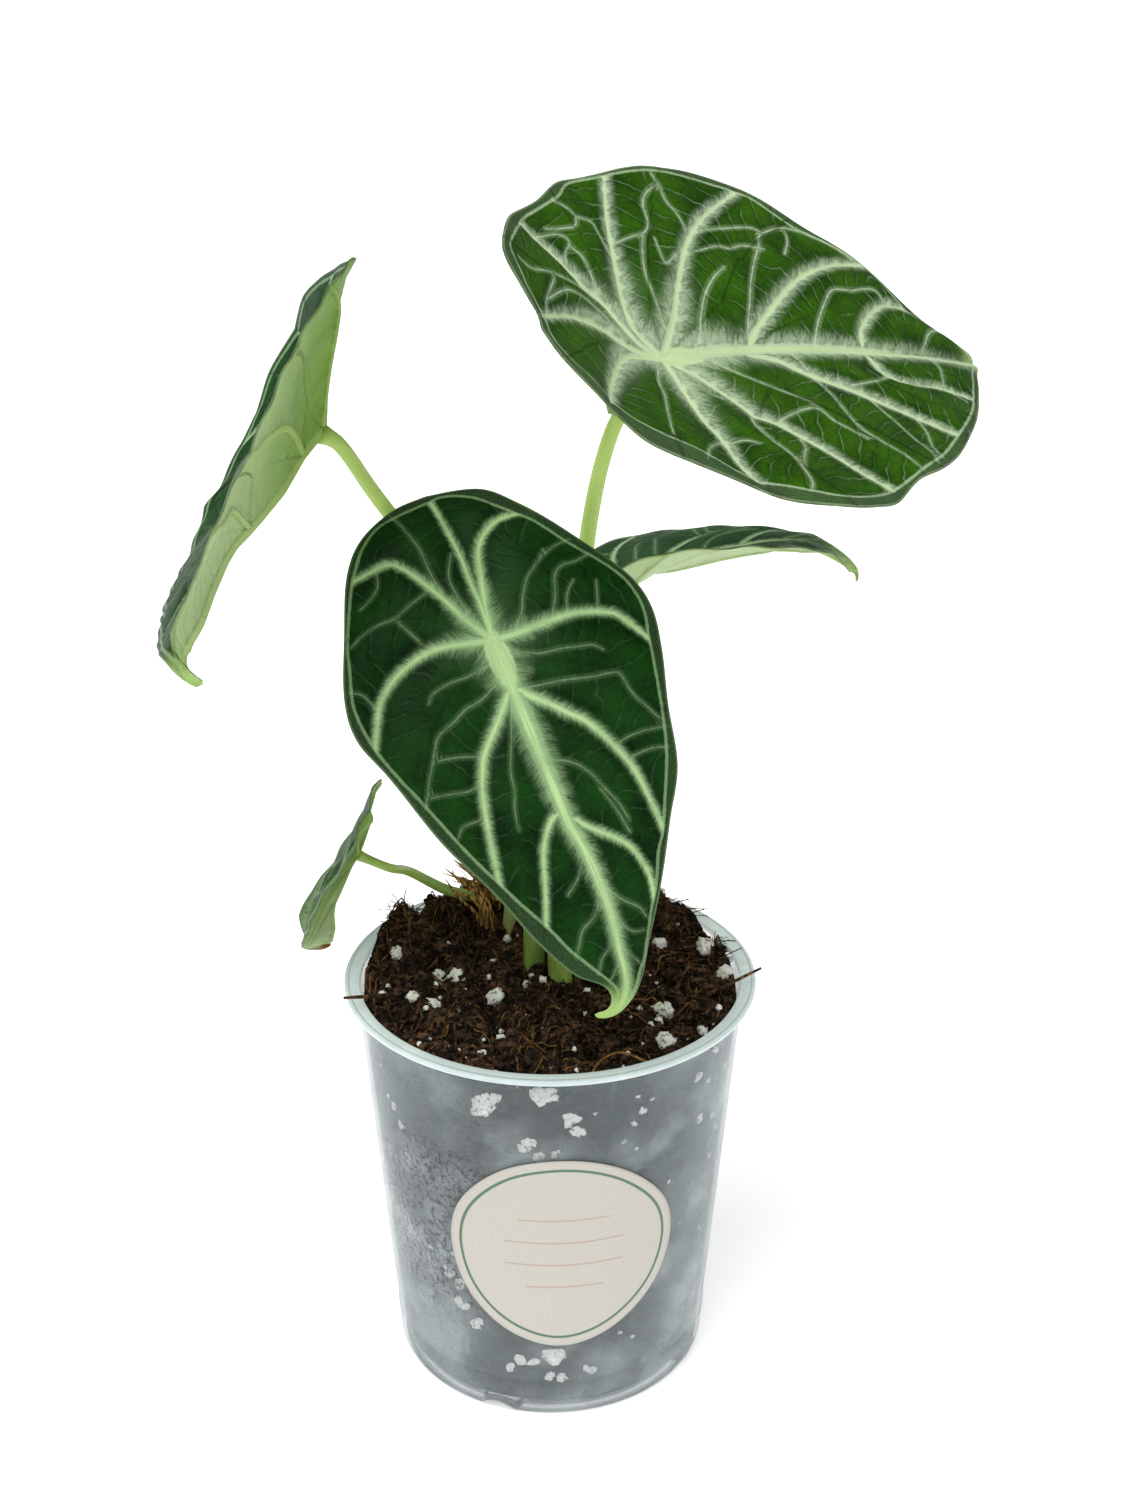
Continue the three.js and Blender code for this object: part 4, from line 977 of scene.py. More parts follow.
def thin_veins(skin):
    """Adds thin, misty (the soft edges), marginal and strip."""
    thin_side, thin_away, thin_half = skin.split(skin.stored("thin", "Vector"))
    wander = skin.cloud(skin.flat, 0.4, 2.0)
    beside = (thin_away - thin_half).ramp(1.2, 0.5)
    broken = skin.cloud(skin.flat, 0.22, 3.0, 0.6).ramp(0.3, 0.55) * 0.6 + 0.4
    skin.thin = (abs(thin_side) - thin_half * (wander - 0.25)).ramp(THIN_EDGE, -0.1) * beside * broken
    skin.misty = (abs(thin_side) - thin_half).ramp(1.7, 0.0) * beside * skin.fine
    skin.marginal = (abs(skin.edge) - wander * 0.45).ramp(0.4, 0.0)
    skin.strip = skin.edge.ramp(-0.1, -0.9)


def rungs(skin):
    """Adds rung, and swell, which is lowest on a rung."""
    lead = skin.stored("lead")
    place = (skin.along + skin.away * RUNG_LEAN) * (1 / RUNG_SPACING) + skin.cloud(skin.flat, 0.05, 3.0) * 2.4
    between = abs(place.fraction() - 0.5) * 2
    rung = (between * (RUNG_SPACING / 2) - 0.02).ramp(RUNG_HALF_WIDTH, 0.0) * lead
    rung = rung * skin.cloud(skin.flat, 0.1, 3.0).ramp(0.34, 0.56)
    skin.rung = rung * (1 - skin.away.ramp(4.0, 15.0) * 0.6)
    skin.swell = 1 - lead * (1 - between.ramp(0.0, 0.65))


print("rungs are", RUNG_SPACING, "mm apart")

# %% [markdown]
# The colours go on in coats, as a painter would lay them: green first, then the silver marks from the
# faintest to the strongest. The under face has the same pattern, but there the veins stand out as ribs
# with darker sides. Each leaf has its own colours, because each catches the light at its own slant.

# %% Colours of the two faces
PALE_GREENS = paint(104, 138, 54), paint(128, 162, 78)
BLANCHED = paint(190, 208, 164)
UNDER_THIN = paint(98, 124, 62)
UNDER_RUNG = paint(104, 130, 66)
RIB_SIDE = paint(84, 118, 44)
RIB = paint(166, 190, 112)
UNDER_STRIP = paint(96, 124, 62)


def upper_face(skin):
    looks, outer, fine = skin.looks, skin.outer, skin.fine
    deep, fresh, silver, pale = (paint(*looks[key]) for key in ("deep", "fresh", "silver", "core"))
    mottle = skin.cloud(skin.flat, 0.8, 5.0, 0.75)
    # Painted shade and highlight: darker green next to the thick veins and on the sunk rungs, lighter green
    # on the swell in the middle of each panel
    panel = outer.ramp(0.5, 7.0) * (skin.swell * 0.5 + 0.5)
    light = skin.tone.ramp(0.34, 0.66) * 0.45 + panel * 0.3 + mottle.ramp(0.42, 0.62) * 0.25
    haze = skin.junction * outer.ramp(9.0, 0.0) * (skin.hair * 0.6 + 0.1) * (fine * 0.8 + 0.4)
    bloom = skin.cloud(skin.flat, 0.16, 5.0, 0.7).ramp(0.6, 0.8)
    return skin.layers(
        skin.mix(light, deep, fresh),
        (haze * looks["mist"] + bloom * 0.04, silver),
        (skin.rung * looks["rungs"], silver),
        ((skin.misty * 0.4 + skin.thin * 0.7).least(1.0) * looks["thin"], silver),
        (skin.marginal * (fine * 0.4 + 0.3), silver),
        (skin.strip * 0.5, skin.mix(fine * 0.25, deep, silver)),
        (skin.stored("margin").ramp(0.7, 0.2) * 0.3, silver),
        (skin.frayed * looks["fur"], silver),
        (skin.body * (skin.flutes * 0.6 + fine * 0.3 + 0.2), silver),
        (skin.core.most(skin.knuckle * 0.8) * (skin.flutes.ramp(0.3, 0.6) * 0.6 + 0.35), pale),
    )


def under_face(skin):
    ribs = (skin.away - skin.half_width * 0.9).ramp(0.6, -0.4)
    at_stem, at_tip = skin.looks["blanched"]
    return skin.layers(
        skin.mix(skin.tone.ramp(0.25, 0.8), *PALE_GREENS),
        (skin.along_leaf.ramp(0.1, 0.65) * (at_tip - at_stem) + at_stem, BLANCHED),
        (skin.thin * 0.06, UNDER_THIN),
        (skin.rung * 0.08, UNDER_RUNG),
        (abs(ribs - 0.5).ramp(0.5, 0.0) * 0.45, RIB_SIDE),
        (ribs * 0.5, RIB),
        (skin.strip * 0.4, UNDER_STRIP),
    )


print("colours of both faces ready")

# %% [markdown]
# Last, the drip tip is plain pale green, or brown and dry on the small leaf. The upper face has a soft
# satin shine that its silver hairs dull. A little bump lifts the swell between the rungs, sinks the thin
# veins and roughens the hairs, because they are too fine for the mesh.

# %% Leaf finish
DRIP_TIP = (158, 188, 110)
DRY_TIP = (146, 94, 42)
TIP_START = 0.86
TIP_END = 0.985


def leaf_finish(name, looks):
    skin = leaf_skin(name, looks)
    thick_veins(skin)
    thin_veins(skin)
    rungs(skin)
    under = skin.stored("under")
    tip = (skin.along_leaf.ramp(looks.get("tip_start", TIP_START), TIP_END), paint(*looks["tip"]))
    upper, lower = skin.layers(upper_face(skin), tip), skin.layers(under_face(skin), tip)
    skin.feed("Base Color", skin.mix(under, upper, lower))
    skin.feed("Roughness", 0.4 + skin.tone * 0.12 + skin.body * 0.16 + under * 0.08)
    skin.feed("Coat Weight", (1 - under) * (1 - skin.body) * looks["sheen"])
    grain = skin.cloud(skin.flat, 1.6, 4.0, 0.7)
    quilt = skin.swell * (1 - skin.body) * looks["quilt"]
    skin.bump(quilt + grain * 0.1 + (skin.hair * skin.frayed) * 0.15 - skin.thin * 0.12, 0.5)
    return skin


LEAF_LOOKS = {
    "front_leaf": dict(
        deep=(0, 20, 2), fresh=(20, 62, 14), silver=(142, 174, 126), core=(180, 208, 148), tip=DRIP_TIP,
        feather=1.15, fur=0.75, haze=20.0, mist=0.4, rungs=0.07, thin=0.48, sheen=0.02, quilt=0.3,
        knuckle=3.2, blanched=(0.2, 0.3),
    ),
    "upper_leaf": dict(
        deep=(6, 40, 2), fresh=(54, 98, 10), silver=(186, 208, 172), core=(194, 214, 158), tip=DRIP_TIP,
        feather=2.0, fur=0.95, haze=40.0, mist=0.6, rungs=0.22, thin=0.85, sheen=0.02, quilt=0.9,
        knuckle=3.4, blanched=(0.2, 0.3),
    ),
    "left_leaf": dict(
        deep=(20, 50, 22), fresh=(48, 84, 44), silver=(160, 190, 150), core=(172, 200, 150), tip=DRIP_TIP,
        feather=0.5, fur=0.4, haze=16.0, mist=0.2, rungs=0.06, thin=0.2, sheen=0.0, quilt=0.5,
        knuckle=1.8, blanched=(0.0, 0.6),
    ),
    "back_leaf": dict(
        deep=(26, 58, 30), fresh=(58, 92, 54), silver=(166, 194, 152), core=(176, 204, 150), tip=DRIP_TIP,
        feather=0.8, fur=0.6, haze=16.0, mist=0.3, rungs=0.12, thin=0.5, sheen=0.02, quilt=0.5,
        knuckle=1.8, blanched=(0.8, 0.8), tip_start=0.7,
    ),
    "small_leaf": dict(
        deep=(38, 68, 34), fresh=(68, 98, 58), silver=(150, 176, 134), core=(130, 158, 108), tip=DRY_TIP,
        feather=0.3, fur=0.25, haze=6.0, mist=0.2, rungs=0.06, thin=0.15, sheen=0.0, quilt=0.3,
        knuckle=1.2, blanched=(0.1, 0.5),
    ),
}
for leaf in LEAVES:
    skin = leaf_finish(leaf["name"] + "_skin", LEAF_LOOKS[leaf["name"]])
    dress(make_blade(leaf), skin, "leaf_blade", leaf["name"] + "_blade")

# %% [markdown]
# The pot is a straight tapered tube of thin clear plastic with a narrow rolled lip. A real one is moulded,
# and turning a profile gives the same shape in few lines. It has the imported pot's sizes with more sides
# and a rounder lip, and the four notches under the foot are cut out of it.

# %% Pot sizes
POT_HEIGHT = 124.0
LIP_RADIUS = 60.0
LIP_DEPTH = 1.6
WALL = 1.1
WALL_TOP_RADIUS = 56.5
WALL_FOOT_RADIUS = 46.2
FOOT_RADIUS = 43.3
FOOT_CURVE = 4.7
GAP = 0.3
MIX_FLOOR = 1.6


def wall_radius(z):
    slope = WALL_TOP_RADIUS - WALL_FOOT_RADIUS
    return WALL_FOOT_RADIUS + slope * (z - FOOT_CURVE) / (POT_HEIGHT - FOOT_CURVE)


def mix_radius(z):
    """How far out the mix reaches at a height, just inside the wall."""
    return wall_radius(z) - WALL - GAP


def turned(profile, sides):
    """Points and faces of a closed profile (radius, height) turned round the upright axis."""
    angles = round_angles(sides)
    rings = [np.stack([r * np.cos(angles), r * np.sin(angles), 0 * angles + z], -1) for r, z in profile]
    return np.concatenate(rings), grid_faces(len(profile), sides, closed=True)


print("pot", POT_HEIGHT, "mm high and", LIP_RADIUS * 2, "mm across the lip")

# %% Pot
POT_SIDES = 192
ARC_STEPS = 8
MOULD_LINE = 13.0
MOULD_STEP = 0.2
LIP_BEVEL = 0.4
FIRST_NOTCH = math.radians(-110)
NOTCH_COUNT = 4
NOTCH_RADIUS = 6.0
NOTCH_LEVEL = -2.2
CUTTER_SIDES = 32
CUTTER_LENGTH = 30
CUTTER_PLACE = 45
# Stands for a radius of nothing, so that the middle is a ring too
POINT = 0.01
profile = [(POINT, 0.0), (FOOT_RADIUS * 0.5, 0.0), (FOOT_RADIUS, 0.0)]
for step in range(1, ARC_STEPS + 1):
    angle = step / ARC_STEPS * math.pi / 2
    r = FOOT_RADIUS + (WALL_FOOT_RADIUS + MOULD_STEP - FOOT_RADIUS) * math.sin(angle)
    profile.append((r, FOOT_CURVE * (1 - math.cos(angle))))
profile += [(wall_radius(z) + MOULD_STEP, z) for z in (8.0, MOULD_LINE)]
profile += [(wall_radius(z), z) for z in (MOULD_LINE + 0.3, MOULD_LINE + 1, *range(20, 120, 10), 121.5)]
lip_bottom = POT_HEIGHT - LIP_DEPTH
profile.append((wall_radius(lip_bottom), lip_bottom))
bead = LIP_DEPTH / 2
for step in range(ARC_STEPS + 1):
    angle = -math.pi / 2 + step / ARC_STEPS * math.pi
    profile.append((LIP_RADIUS - bead + bead * math.cos(angle), POT_HEIGHT - bead + bead * math.sin(angle)))
inner_lip = wall_radius(POT_HEIGHT) - WALL
profile += [(inner_lip + LIP_BEVEL, POT_HEIGHT), (inner_lip, POT_HEIGHT - LIP_BEVEL)]
profile += [(wall_radius(z) - WALL, z) for z in (110.0, 80.0, 40.0, FOOT_CURVE + WALL)]
profile += [(FOOT_RADIUS - WALL, MIX_FLOOR - GAP), (POINT, MIX_FLOOR - GAP)]
points, faces = turned(profile, POT_SIDES)
pot = make_piece("clear_pot", points, faces, merge_mm=0.05)
out_and_down = Matrix.Translation((CUTTER_PLACE * MM, 0, NOTCH_LEVEL * MM))
on_its_side = Matrix.Rotation(math.pi / 2, 4, "Y")
for i in range(NOTCH_COUNT):
    radius, depth = NOTCH_RADIUS * MM, CUTTER_LENGTH * MM
    bpy.ops.mesh.primitive_cylinder_add(vertices=CUTTER_SIDES, radius=radius, depth=depth)
    cutter = bpy.context.object
    round_foot = Matrix.Rotation(FIRST_NOTCH + i * 2 * math.pi / NOTCH_COUNT, 4, "Z")
    cutter.matrix_world = round_foot @ out_and_down @ on_its_side
    bpy.context.view_layer.update()
    notch = pot.modifiers.new("notch", "BOOLEAN")
    notch.object = cutter
    notch.operation = "DIFFERENCE"
    bpy.context.view_layer.objects.active = pot
    bpy.ops.object.modifier_apply(modifier=notch.name)
    bpy.data.objects.remove(cutter)
pot.data.shade_smooth()
print("pot turned and", NOTCH_COUNT, "notches cut")

# %% [markdown]
# The pot is clear plastic with a frosted bloom: dark mix shows through as a soft blue-grey, and where
# the wall turns away from the eye it looks pale and milky. Real glass shading would be slow and noisy
# here, so the wall is partly see-through, more so where it faces the viewer. Cloudy patches of moisture
# make it paler here and there.

# %% Pot finish
LIP_START = 122.0
CREASE_RADIUS = 58.7
BLOOM_CENTRE = (-34.0, -36.0, 50.0)
SPECKS_CENTRE = (-36.0, -43.0, 64.0)
SPECKS_SHIFT = (20.0, 0.0, 9.0)
CRACKLE_SHIFT = (7.0, 3.0, 1.0)
# The small emission is painted light: only the lip glows, by the emission colour set below
frosted = Finish("frosted_pot", Roughness=0.3, Specular_IOR_Level=0.5, Coat_Roughness=0.15, Coat_Weight=0.2,
                 Emission_Strength=0.2)
place = frosted.place_mm()
x, y, height = frosted.split(place)
radius = (x * x + y * y) ** 0.5
facing = frosted.node("ShaderNodeLayerWeight", None, {"Blend": 0.5}, "Facing")
lip = height.ramp(LIP_START, LIP_START + 0.5)
# Moisture: wide clouds, wisps, fine crackle, one white bloom and dark specks
cloudy = frosted.cloud(place, 0.045, 4.0, 0.6).ramp(0.42, 0.72)
wisps = frosted.cloud(place, 0.16, 5.0, 0.65).ramp(0.55, 0.75)
crackle = frosted.cloud(frosted.shift(place, CRACKLE_SHIFT), 0.42, 6.0, 0.78).ramp(0.48, 0.62)
bloom = frosted.distance(place, BLOOM_CENTRE).ramp(27.0, 5.0)
bloom = bloom * frosted.cloud(place, 0.11, 4.0, 0.65).ramp(0.36, 0.62)
patches = frosted.distance(place, SPECKS_CENTRE).ramp(40.0, 16.0) * 0.85 + 0.15
patches = patches * frosted.cloud(frosted.shift(place, SPECKS_SHIFT), 0.07, 4.0, 0.7).ramp(0.3, 0.48)
specks = frosted.cloud(place, 0.6, 5.0, 0.8).ramp(0.52, 0.57) * patches * lip.ramp(0.5, 0.0)
print("pot finish has", len(frosted.tree.nodes), "nodes so far")

# %% [markdown]
# Light gathers in thin plastic wherever it bends, so the crease inside the lip, the edge of the foot and
# the arches of the notches show as thin darker lines, and these are painted shade. They could be cut as
# grooves, but at half a millimetre the mesh would need many more faces. So the finish finds them by
# radius and height.

# %% Edges of the pot
# Painted shade: a thin darker line at the crease inside the lip
crease_shade = (abs(radius - CREASE_RADIUS) - 0.12).ramp(0.3, 0.0) * lip
turned_x = x * math.cos(FIRST_NOTCH) + y * math.sin(FIRST_NOTCH)
turned_y = y * math.cos(FIRST_NOTCH) - x * math.sin(FIRST_NOTCH)
beside = abs(turned_x).least(abs(turned_y))
above = height - NOTCH_LEVEL
arch = (abs((beside * beside + above * above) ** 0.5 - NOTCH_RADIUS - 0.2) - 0.3).ramp(0.4, 0.0)
# Painted shade: a thin darker line along the bottom edge of the foot and round each notch arch
rim = (height.ramp(1.0, 0.4) * radius.ramp(42.0, 42.6) + arch * height.ramp(5.5, 5.0)).least(1.0)
density = 0.095 + cloudy * 0.11 + wisps * 0.07 + crackle * 0.05 + bloom * 0.1
density = density + facing**2.2 * 0.52 + lip * 0.62 + specks * 0.5
frosted.feed("Alpha", density.most(rim * 0.85).least(0.95))
# Painted light: the lip glows faintly, standing in for light that scatters in its thicker plastic
frosted.feed("Emission Color", frosted.mix(lip, paint(0, 0, 0), paint(214, 228, 228)))
frosted.feed("Base Color", frosted.layers(
    frosted.mix(cloudy * 0.5 + lip * 0.6 + bloom * 0.3, paint(168, 182, 186), paint(222, 232, 232)),
    (crease_shade * 0.7, paint(118, 130, 132)),
    (specks.ramp(0.0, 0.5), paint(46, 52, 54)),
    (rim * 0.9, paint(98, 106, 106)),
))
dress(pot, frosted, "pot", "pot")

# %% [markdown]
# The sticker is a rounded patch of cream paper wrapped round the wall. It carries a thin green line
# just inside its edge and a few ruled lines, and nothing that can be read. A flat disc pushed against
# the pot would cut into its taper, so each point of a flat sheet is laid on the wall by formula. The
# sheet is made of rings that shrink to its centre, and stores how far in each point lies.

# %% Sticker
STICKER_CENTRE = np.array((4.0, 62.0))
STICKER_OUTLINE = [
    (-29.5, 64), (-25, 79), (-12, 91.5), (5, 95), (21, 89.5), (34, 76), (37.5, 61),
    (32, 45), (18, 32.5), (2, 28), (-14, 34), (-25.5, 47),
]
STICKER_THICKNESS = 0.4
STICKER_EDGE = 144
STICKER_RINGS = 30
STICKER_REACH = 33
SMALLEST_RING = 0.001
OVERLAP = 2
loop = STICKER_OUTLINE[-OVERLAP:] + STICKER_OUTLINE + STICKER_OUTLINE[:OVERLAP + 1]
whole = Line(loop)
first_knot, last_knot = OVERLAP, OVERLAP + len(STICKER_OUTLINE)
start, end = (whole.arc[knot * Line.STEPS] / whole.length for knot in (first_knot, last_knot))
edge = whole.at(start + (end - start) * np.arange(STICKER_EDGE) / STICKER_EDGE)
rings = [STICKER_CENTRE + (edge - STICKER_CENTRE) * max(share, SMALLEST_RING)
         for share in np.linspace(1, 0, STICKER_RINGS + 1)]
flat_sheet = np.concatenate(rings)


def on_wall(sheet, lift):
    radius = wall_radius(sheet[:, 1]) + GAP + lift
    angle = sheet[:, 0] / wall_radius(sheet[:, 1])
    return np.stack([radius * np.sin(angle), -radius * np.cos(angle), sheet[:, 1]], -1)


front, back = on_wall(flat_sheet, STICKER_THICKNESS), on_wall(flat_sheet, 0.0)
count = len(flat_sheet)
faces = grid_faces(STICKER_RINGS + 1, STICKER_EDGE, closed=True)
faces += turned_over(faces, count)
for i in range(STICKER_EDGE):
    beside = (i + 1) % STICKER_EDGE
    faces.append((i, i + count, beside + count, beside))
inset = np.repeat(np.linspace(0, 1, STICKER_RINGS + 1), STICKER_EDGE) * STICKER_REACH
stored = {
    "inset": np.concatenate([inset, inset]),
    "sheet": np.concatenate([np.column_stack([flat_sheet - STICKER_CENTRE, 0 * inset])] * 2),
}
sticker = make_piece("paper_sticker", np.concatenate([front, back]), faces, stored, merge_mm=0.05)

print("sticker", np.ptp(flat_sheet, axis=0).round(0), "mm when flat")

# %% [markdown]
# Cream paper has a faint fibre and no shine. Its printed lines could be thin pieces of their own, but
# print has no height. So the finish draws each one from the flat place that the sheet stores.

# %% Sticker finish
BORDER_IN = 3.2
BORDER_HALF_WIDTH = 0.35
RULE_HALF_WIDTH = 0.22
# Each ruled line: height above the middle and half its length, in mm
RULED_LINES = [(12.0, 13.0), (4.0, 17.0), (-4.0, 17.0), (-12.0, 11.0)]
paper = Finish("sticker_paper", Roughness=0.55, Specular_IOR_Level=0.35)
sheet = paper.stored("sheet", "Vector")
along, up, _ = paper.split(sheet)
fibre = paper.cloud(sheet, 1.2, 4.0, 0.7)
border = (abs(paper.stored("inset") - BORDER_IN) - BORDER_HALF_WIDTH).ramp(0.2, 0.0)
prints = [(border * 0.9, paint(62, 104, 82))]
for level, half_length in RULED_LINES:
    line = (abs(up - level) - RULE_HALF_WIDTH).ramp(0.15, 0.0) * (abs(along) - half_length).ramp(0.15, 0.0)
    prints.append((line * 0.75, paint(176, 152, 142)))
cream = paper.mix(fibre.ramp(0.3, 0.7), paint(186, 182, 173), paint(194, 190, 181))
paper.feed("Base Color", paper.layers(cream, *prints))
paper.bump(fibre, 0.05, 0.5)
dress(sticker, paper, "sticker", "sticker")

# %% [markdown]
# Potting mix is peat, coir and bark fines with perlite. Loose crumbs alone would leave gaps, so the body
# of it is one surface: a lumpy top with a few heaps towards the wall, and a side that lies just inside
# the pot and is hollowed behind the notches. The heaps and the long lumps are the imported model's own, and
# finer crumbs are added with layered noise.

# %% Potting mix body
MIX_LEVEL = 118.5
LUMP_HEIGHT = 0.75
LUMP_WAVES = 9
LUMP_FINENESS = 1.1
LUMP_SEED = 41
# Each heap: place, height and spread
HEAPS = [(-45, 24, 13, 9), (-24, 43, 11, 9), (36, 38, 11, 8), (48, 17, 4, 6), (0, 36, 3, 15)]
MULTIPLIER = 16807
MODULUS = 2147483647


def steady_numbers(seed):
    """Chance numbers from 0 to 1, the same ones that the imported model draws."""
    state = seed
    while True:
        state = state * MULTIPLIER % MODULUS
        yield state / MODULUS


draw = steady_numbers(LUMP_SEED)
LUMPS = [((next(draw) - 0.5) * LUMP_FINENESS, (next(draw) - 0.5) * LUMP_FINENESS, next(draw) * 2 * math.pi)
         for _ in range(LUMP_WAVES)]


def mix_height(x, y):
    z = MIX_LEVEL + 0 * x
    for heap_x, heap_y, height, spread in HEAPS:
        z = z + height * np.exp(-((x - heap_x) ** 2 + (y - heap_y) ** 2) / (2 * spread**2))
    for kx, ky, phase in LUMPS:
        z = z + LUMP_HEIGHT * np.sin(kx * x + ky * y + phase)
    return z


# Crumbs of two sizes: how fine, and how high in mm
CRUMBLE = (0.16, 2.1), (0.5, 1.1)
SETTLE = 0.3


def crumble(points, scale, strength):
    """Layered noise for a list of points, in mm."""
    return np.array([strength * noise.fractal(Vector(point) * scale, 0.9, 2.1, 5) for point in points])


def mix_top(x, y):
    """The lumpy surface itself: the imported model's heaps with crumbs of two sizes on them."""
    z = mix_height(x, y)
    spots = np.column_stack([x, y, z])
    coarse, fine = (crumble(spots, *size) for size in CRUMBLE)
    return z + coarse + fine - SETTLE


MIX_SIDES = 300
MIX_RINGS = 90
LOW_ROWS = 3
NOTCH_HOLLOW = 0.24
HOLLOW_SPREAD = math.radians(8.5)
NOTCH_CEILING = (4.5, 4.2)
SIDE_LEVELS = [113.5, 95, 75, 55, 35, 20, FOOT_CURVE + WALL + 1, FOOT_CURVE + WALL]
angles = round_angles(MIX_SIDES)
top_radius = mix_radius(MIX_LEVEL - 2)
radii = top_radius * (np.arange(MIX_RINGS + 1) / MIX_RINGS)
radii[0] = POINT
r, a = np.meshgrid(radii, angles, indexing="ij")
x, y = (r * np.cos(a)).ravel(), (r * np.sin(a)).ravel()
top = np.column_stack([x, y, mix_top(x, y)])
rows = [(mix_radius(level), level) for level in SIDE_LEVELS]
bend, foot = rows[-1], (FOOT_RADIUS - WALL - GAP, MIX_FLOOR)
for level in NOTCH_CEILING:
    share = (level - foot[1]) / (bend[1] - foot[1])
    rows.append((foot[0] + (bend[0] - foot[0]) * share, level))
rows += [foot, (POINT, MIX_FLOOR)]
off_notch = (angles - FIRST_NOTCH + math.pi / 4) % (math.pi / 2) - math.pi / 4
hollow = 1 - NOTCH_HOLLOW * np.exp(-((off_notch / HOLLOW_SPREAD) ** 4))
low = [1.0] * (len(rows) - LOW_ROWS) + [hollow] * LOW_ROWS
side = np.concatenate([np.stack([r * h * np.cos(angles), r * h * np.sin(angles), 0 * angles + level], -1)
                       for (r, level), h in zip(rows, low)])
faces = grid_faces(MIX_RINGS + 1 + len(rows), MIX_SIDES, closed=True, flip=True)
mix_body = make_piece("mix_body", np.concatenate([top, side]), faces, merge_mm=0.05)
print("mix rises from", top[:, 2].min().round(1), "to", top[:, 2].max().round(1), "mm")

# %% [markdown]
# Moist peat is nearly black, with browner bits in patches. One flat brown would look like mud, so noise at
# two sizes mixes a dark and a light colour, and a strong bump breaks up the shine. The crumbs, fibres
# and roots below share this finish with colours of their own.

# %% Potting mix finish
def mix_finish(name, dark, light):
    finish = Finish(name, Roughness=0.95, Specular_IOR_Level=0.2)
    place = finish.place_mm()
    tone = finish.cloud(place, 0.5, 5.0, 0.7).ramp(0.42, 0.64)
    patch = finish.cloud(place, 0.12, 3.0, 0.6).ramp(0.38, 0.58) * 0.6 + 0.4
    finish.feed("Base Color", finish.mix(tone * patch, dark, light))
    finish.bump(finish.cloud(place, 0.8, 6.0, 0.75), 1.2)
    return finish


peat = mix_finish("peat", paint(18, 13, 10), paint(74, 52, 36))
dress(mix_body, peat, "potting_mix", "potting_mix")

# %% [markdown]
# A bare surface looks like clay. Real mix is crumbs, short fibres and grains. A particle system would
# scatter them, but its pieces are lost when the model is exported. So many small shapes are laid by seeded
# chance and gathered into a few meshes. These helpers make tubes and rough balls, and find free spots.

# %% Helpers for scattering
SEED = 12
chance = random.Random(SEED)
# A direction that no tube runs along, to measure its turns from
ASKEW = np.array((0.31, 0.22, 0.93))


class Pile:
    """Gathers many small shapes into one mesh."""

    def __init__(self):
        self.points = []
        self.faces = []

    def add(self, points, faces):
        offset = len(self.points)
        self.points.extend(tuple(point) for point in points)
        self.faces.extend(tuple(index + offset for index in face) for face in faces)

    def tube(self, path, radii, sides):
        path = np.asarray(path, dtype=float)
        direction = unit(np.gradient(path, axis=0))
        across = unit(np.cross(direction, ASKEW))
        other = np.cross(direction, across)
        turn = round_angles(sides)
        radii = np.broadcast_to(radii, len(path))[:, None, None]
        spokes = across[:, None] * np.cos(turn)[None, :, None] + other[:, None] * np.sin(turn)[None, :, None]
        rings = (path[:, None] + spokes * radii).reshape(-1, 3)
        self.add(rings, grid_faces(len(path), sides, closed=True) + end_caps(len(path), sides))

    def ball(self, centre, radius, rough, fineness, seed, squash=(1, 1, 1)):
        points, faces = BALLS[fineness]
        shift = Vector((seed * 3.7, seed * 1.3, -seed * 2.1))
        swell = [1 + rough * noise.noise(p * 1.9 + shift) + rough * 0.5 * noise.noise(p * 4.7 + shift)
                 for p in points]
        turned = Euler((seed * 2.1, seed * 5.3, seed * 0.7)).to_matrix()
        shaped = np.array([np.array(turned @ (p * s)) for p, s in zip(points, swell)])
        self.add(shaped * radius * np.array(squash) + np.array(centre), faces)

    def dressed(self, name, finish, slot="potting_mix", *nodes):
        dress(make_piece(name, self.points, self.faces), finish, slot, *nodes)


def round_ball(subdivisions):
    work = bmesh.new()
    bmesh.ops.create_icosphere(work, subdivisions=subdivisions, radius=1.0)
    points = [vertex.co.copy() for vertex in work.verts]
    faces = [tuple(vertex.index for vertex in face.verts) for face in work.faces]
    work.free()
    return points, faces


BALLS = {fineness: round_ball(fineness) for fineness in (1, 2, 3)}


def root_spot(x, y):
    return np.array((x, y, float(mix_height(np.float64(x), np.float64(y)))))


def surface_spot(x, y, lift=0.0):
    return np.array((x, y, mix_top(np.array([float(x)]), np.array([float(y)]))[0] + lift))


def anywhere(limit):
    radius, angle = limit * math.sqrt(chance.random()), chance.uniform(0, 2 * math.pi)
    return radius * math.cos(angle), radius * math.sin(angle)


def clear_of_stems(x, y, margin):
    roots = [(leaf["stem"]["root"], leaf["stem"]["radii"][0]) for leaf in LEAVES]
    return all(math.hypot(x - root[0], y - root[1]) > radius + margin for root, radius in roots)


print("a ball has", [len(faces) for _, faces in BALLS.values()], "faces, by fineness")

# %% [markdown]
# Peat breaks into crumbs of about a millimetre and a few larger clods. They are rough balls, squashed and
# turned at random, and most lie where the surface stands high, so its hollows stay dark.

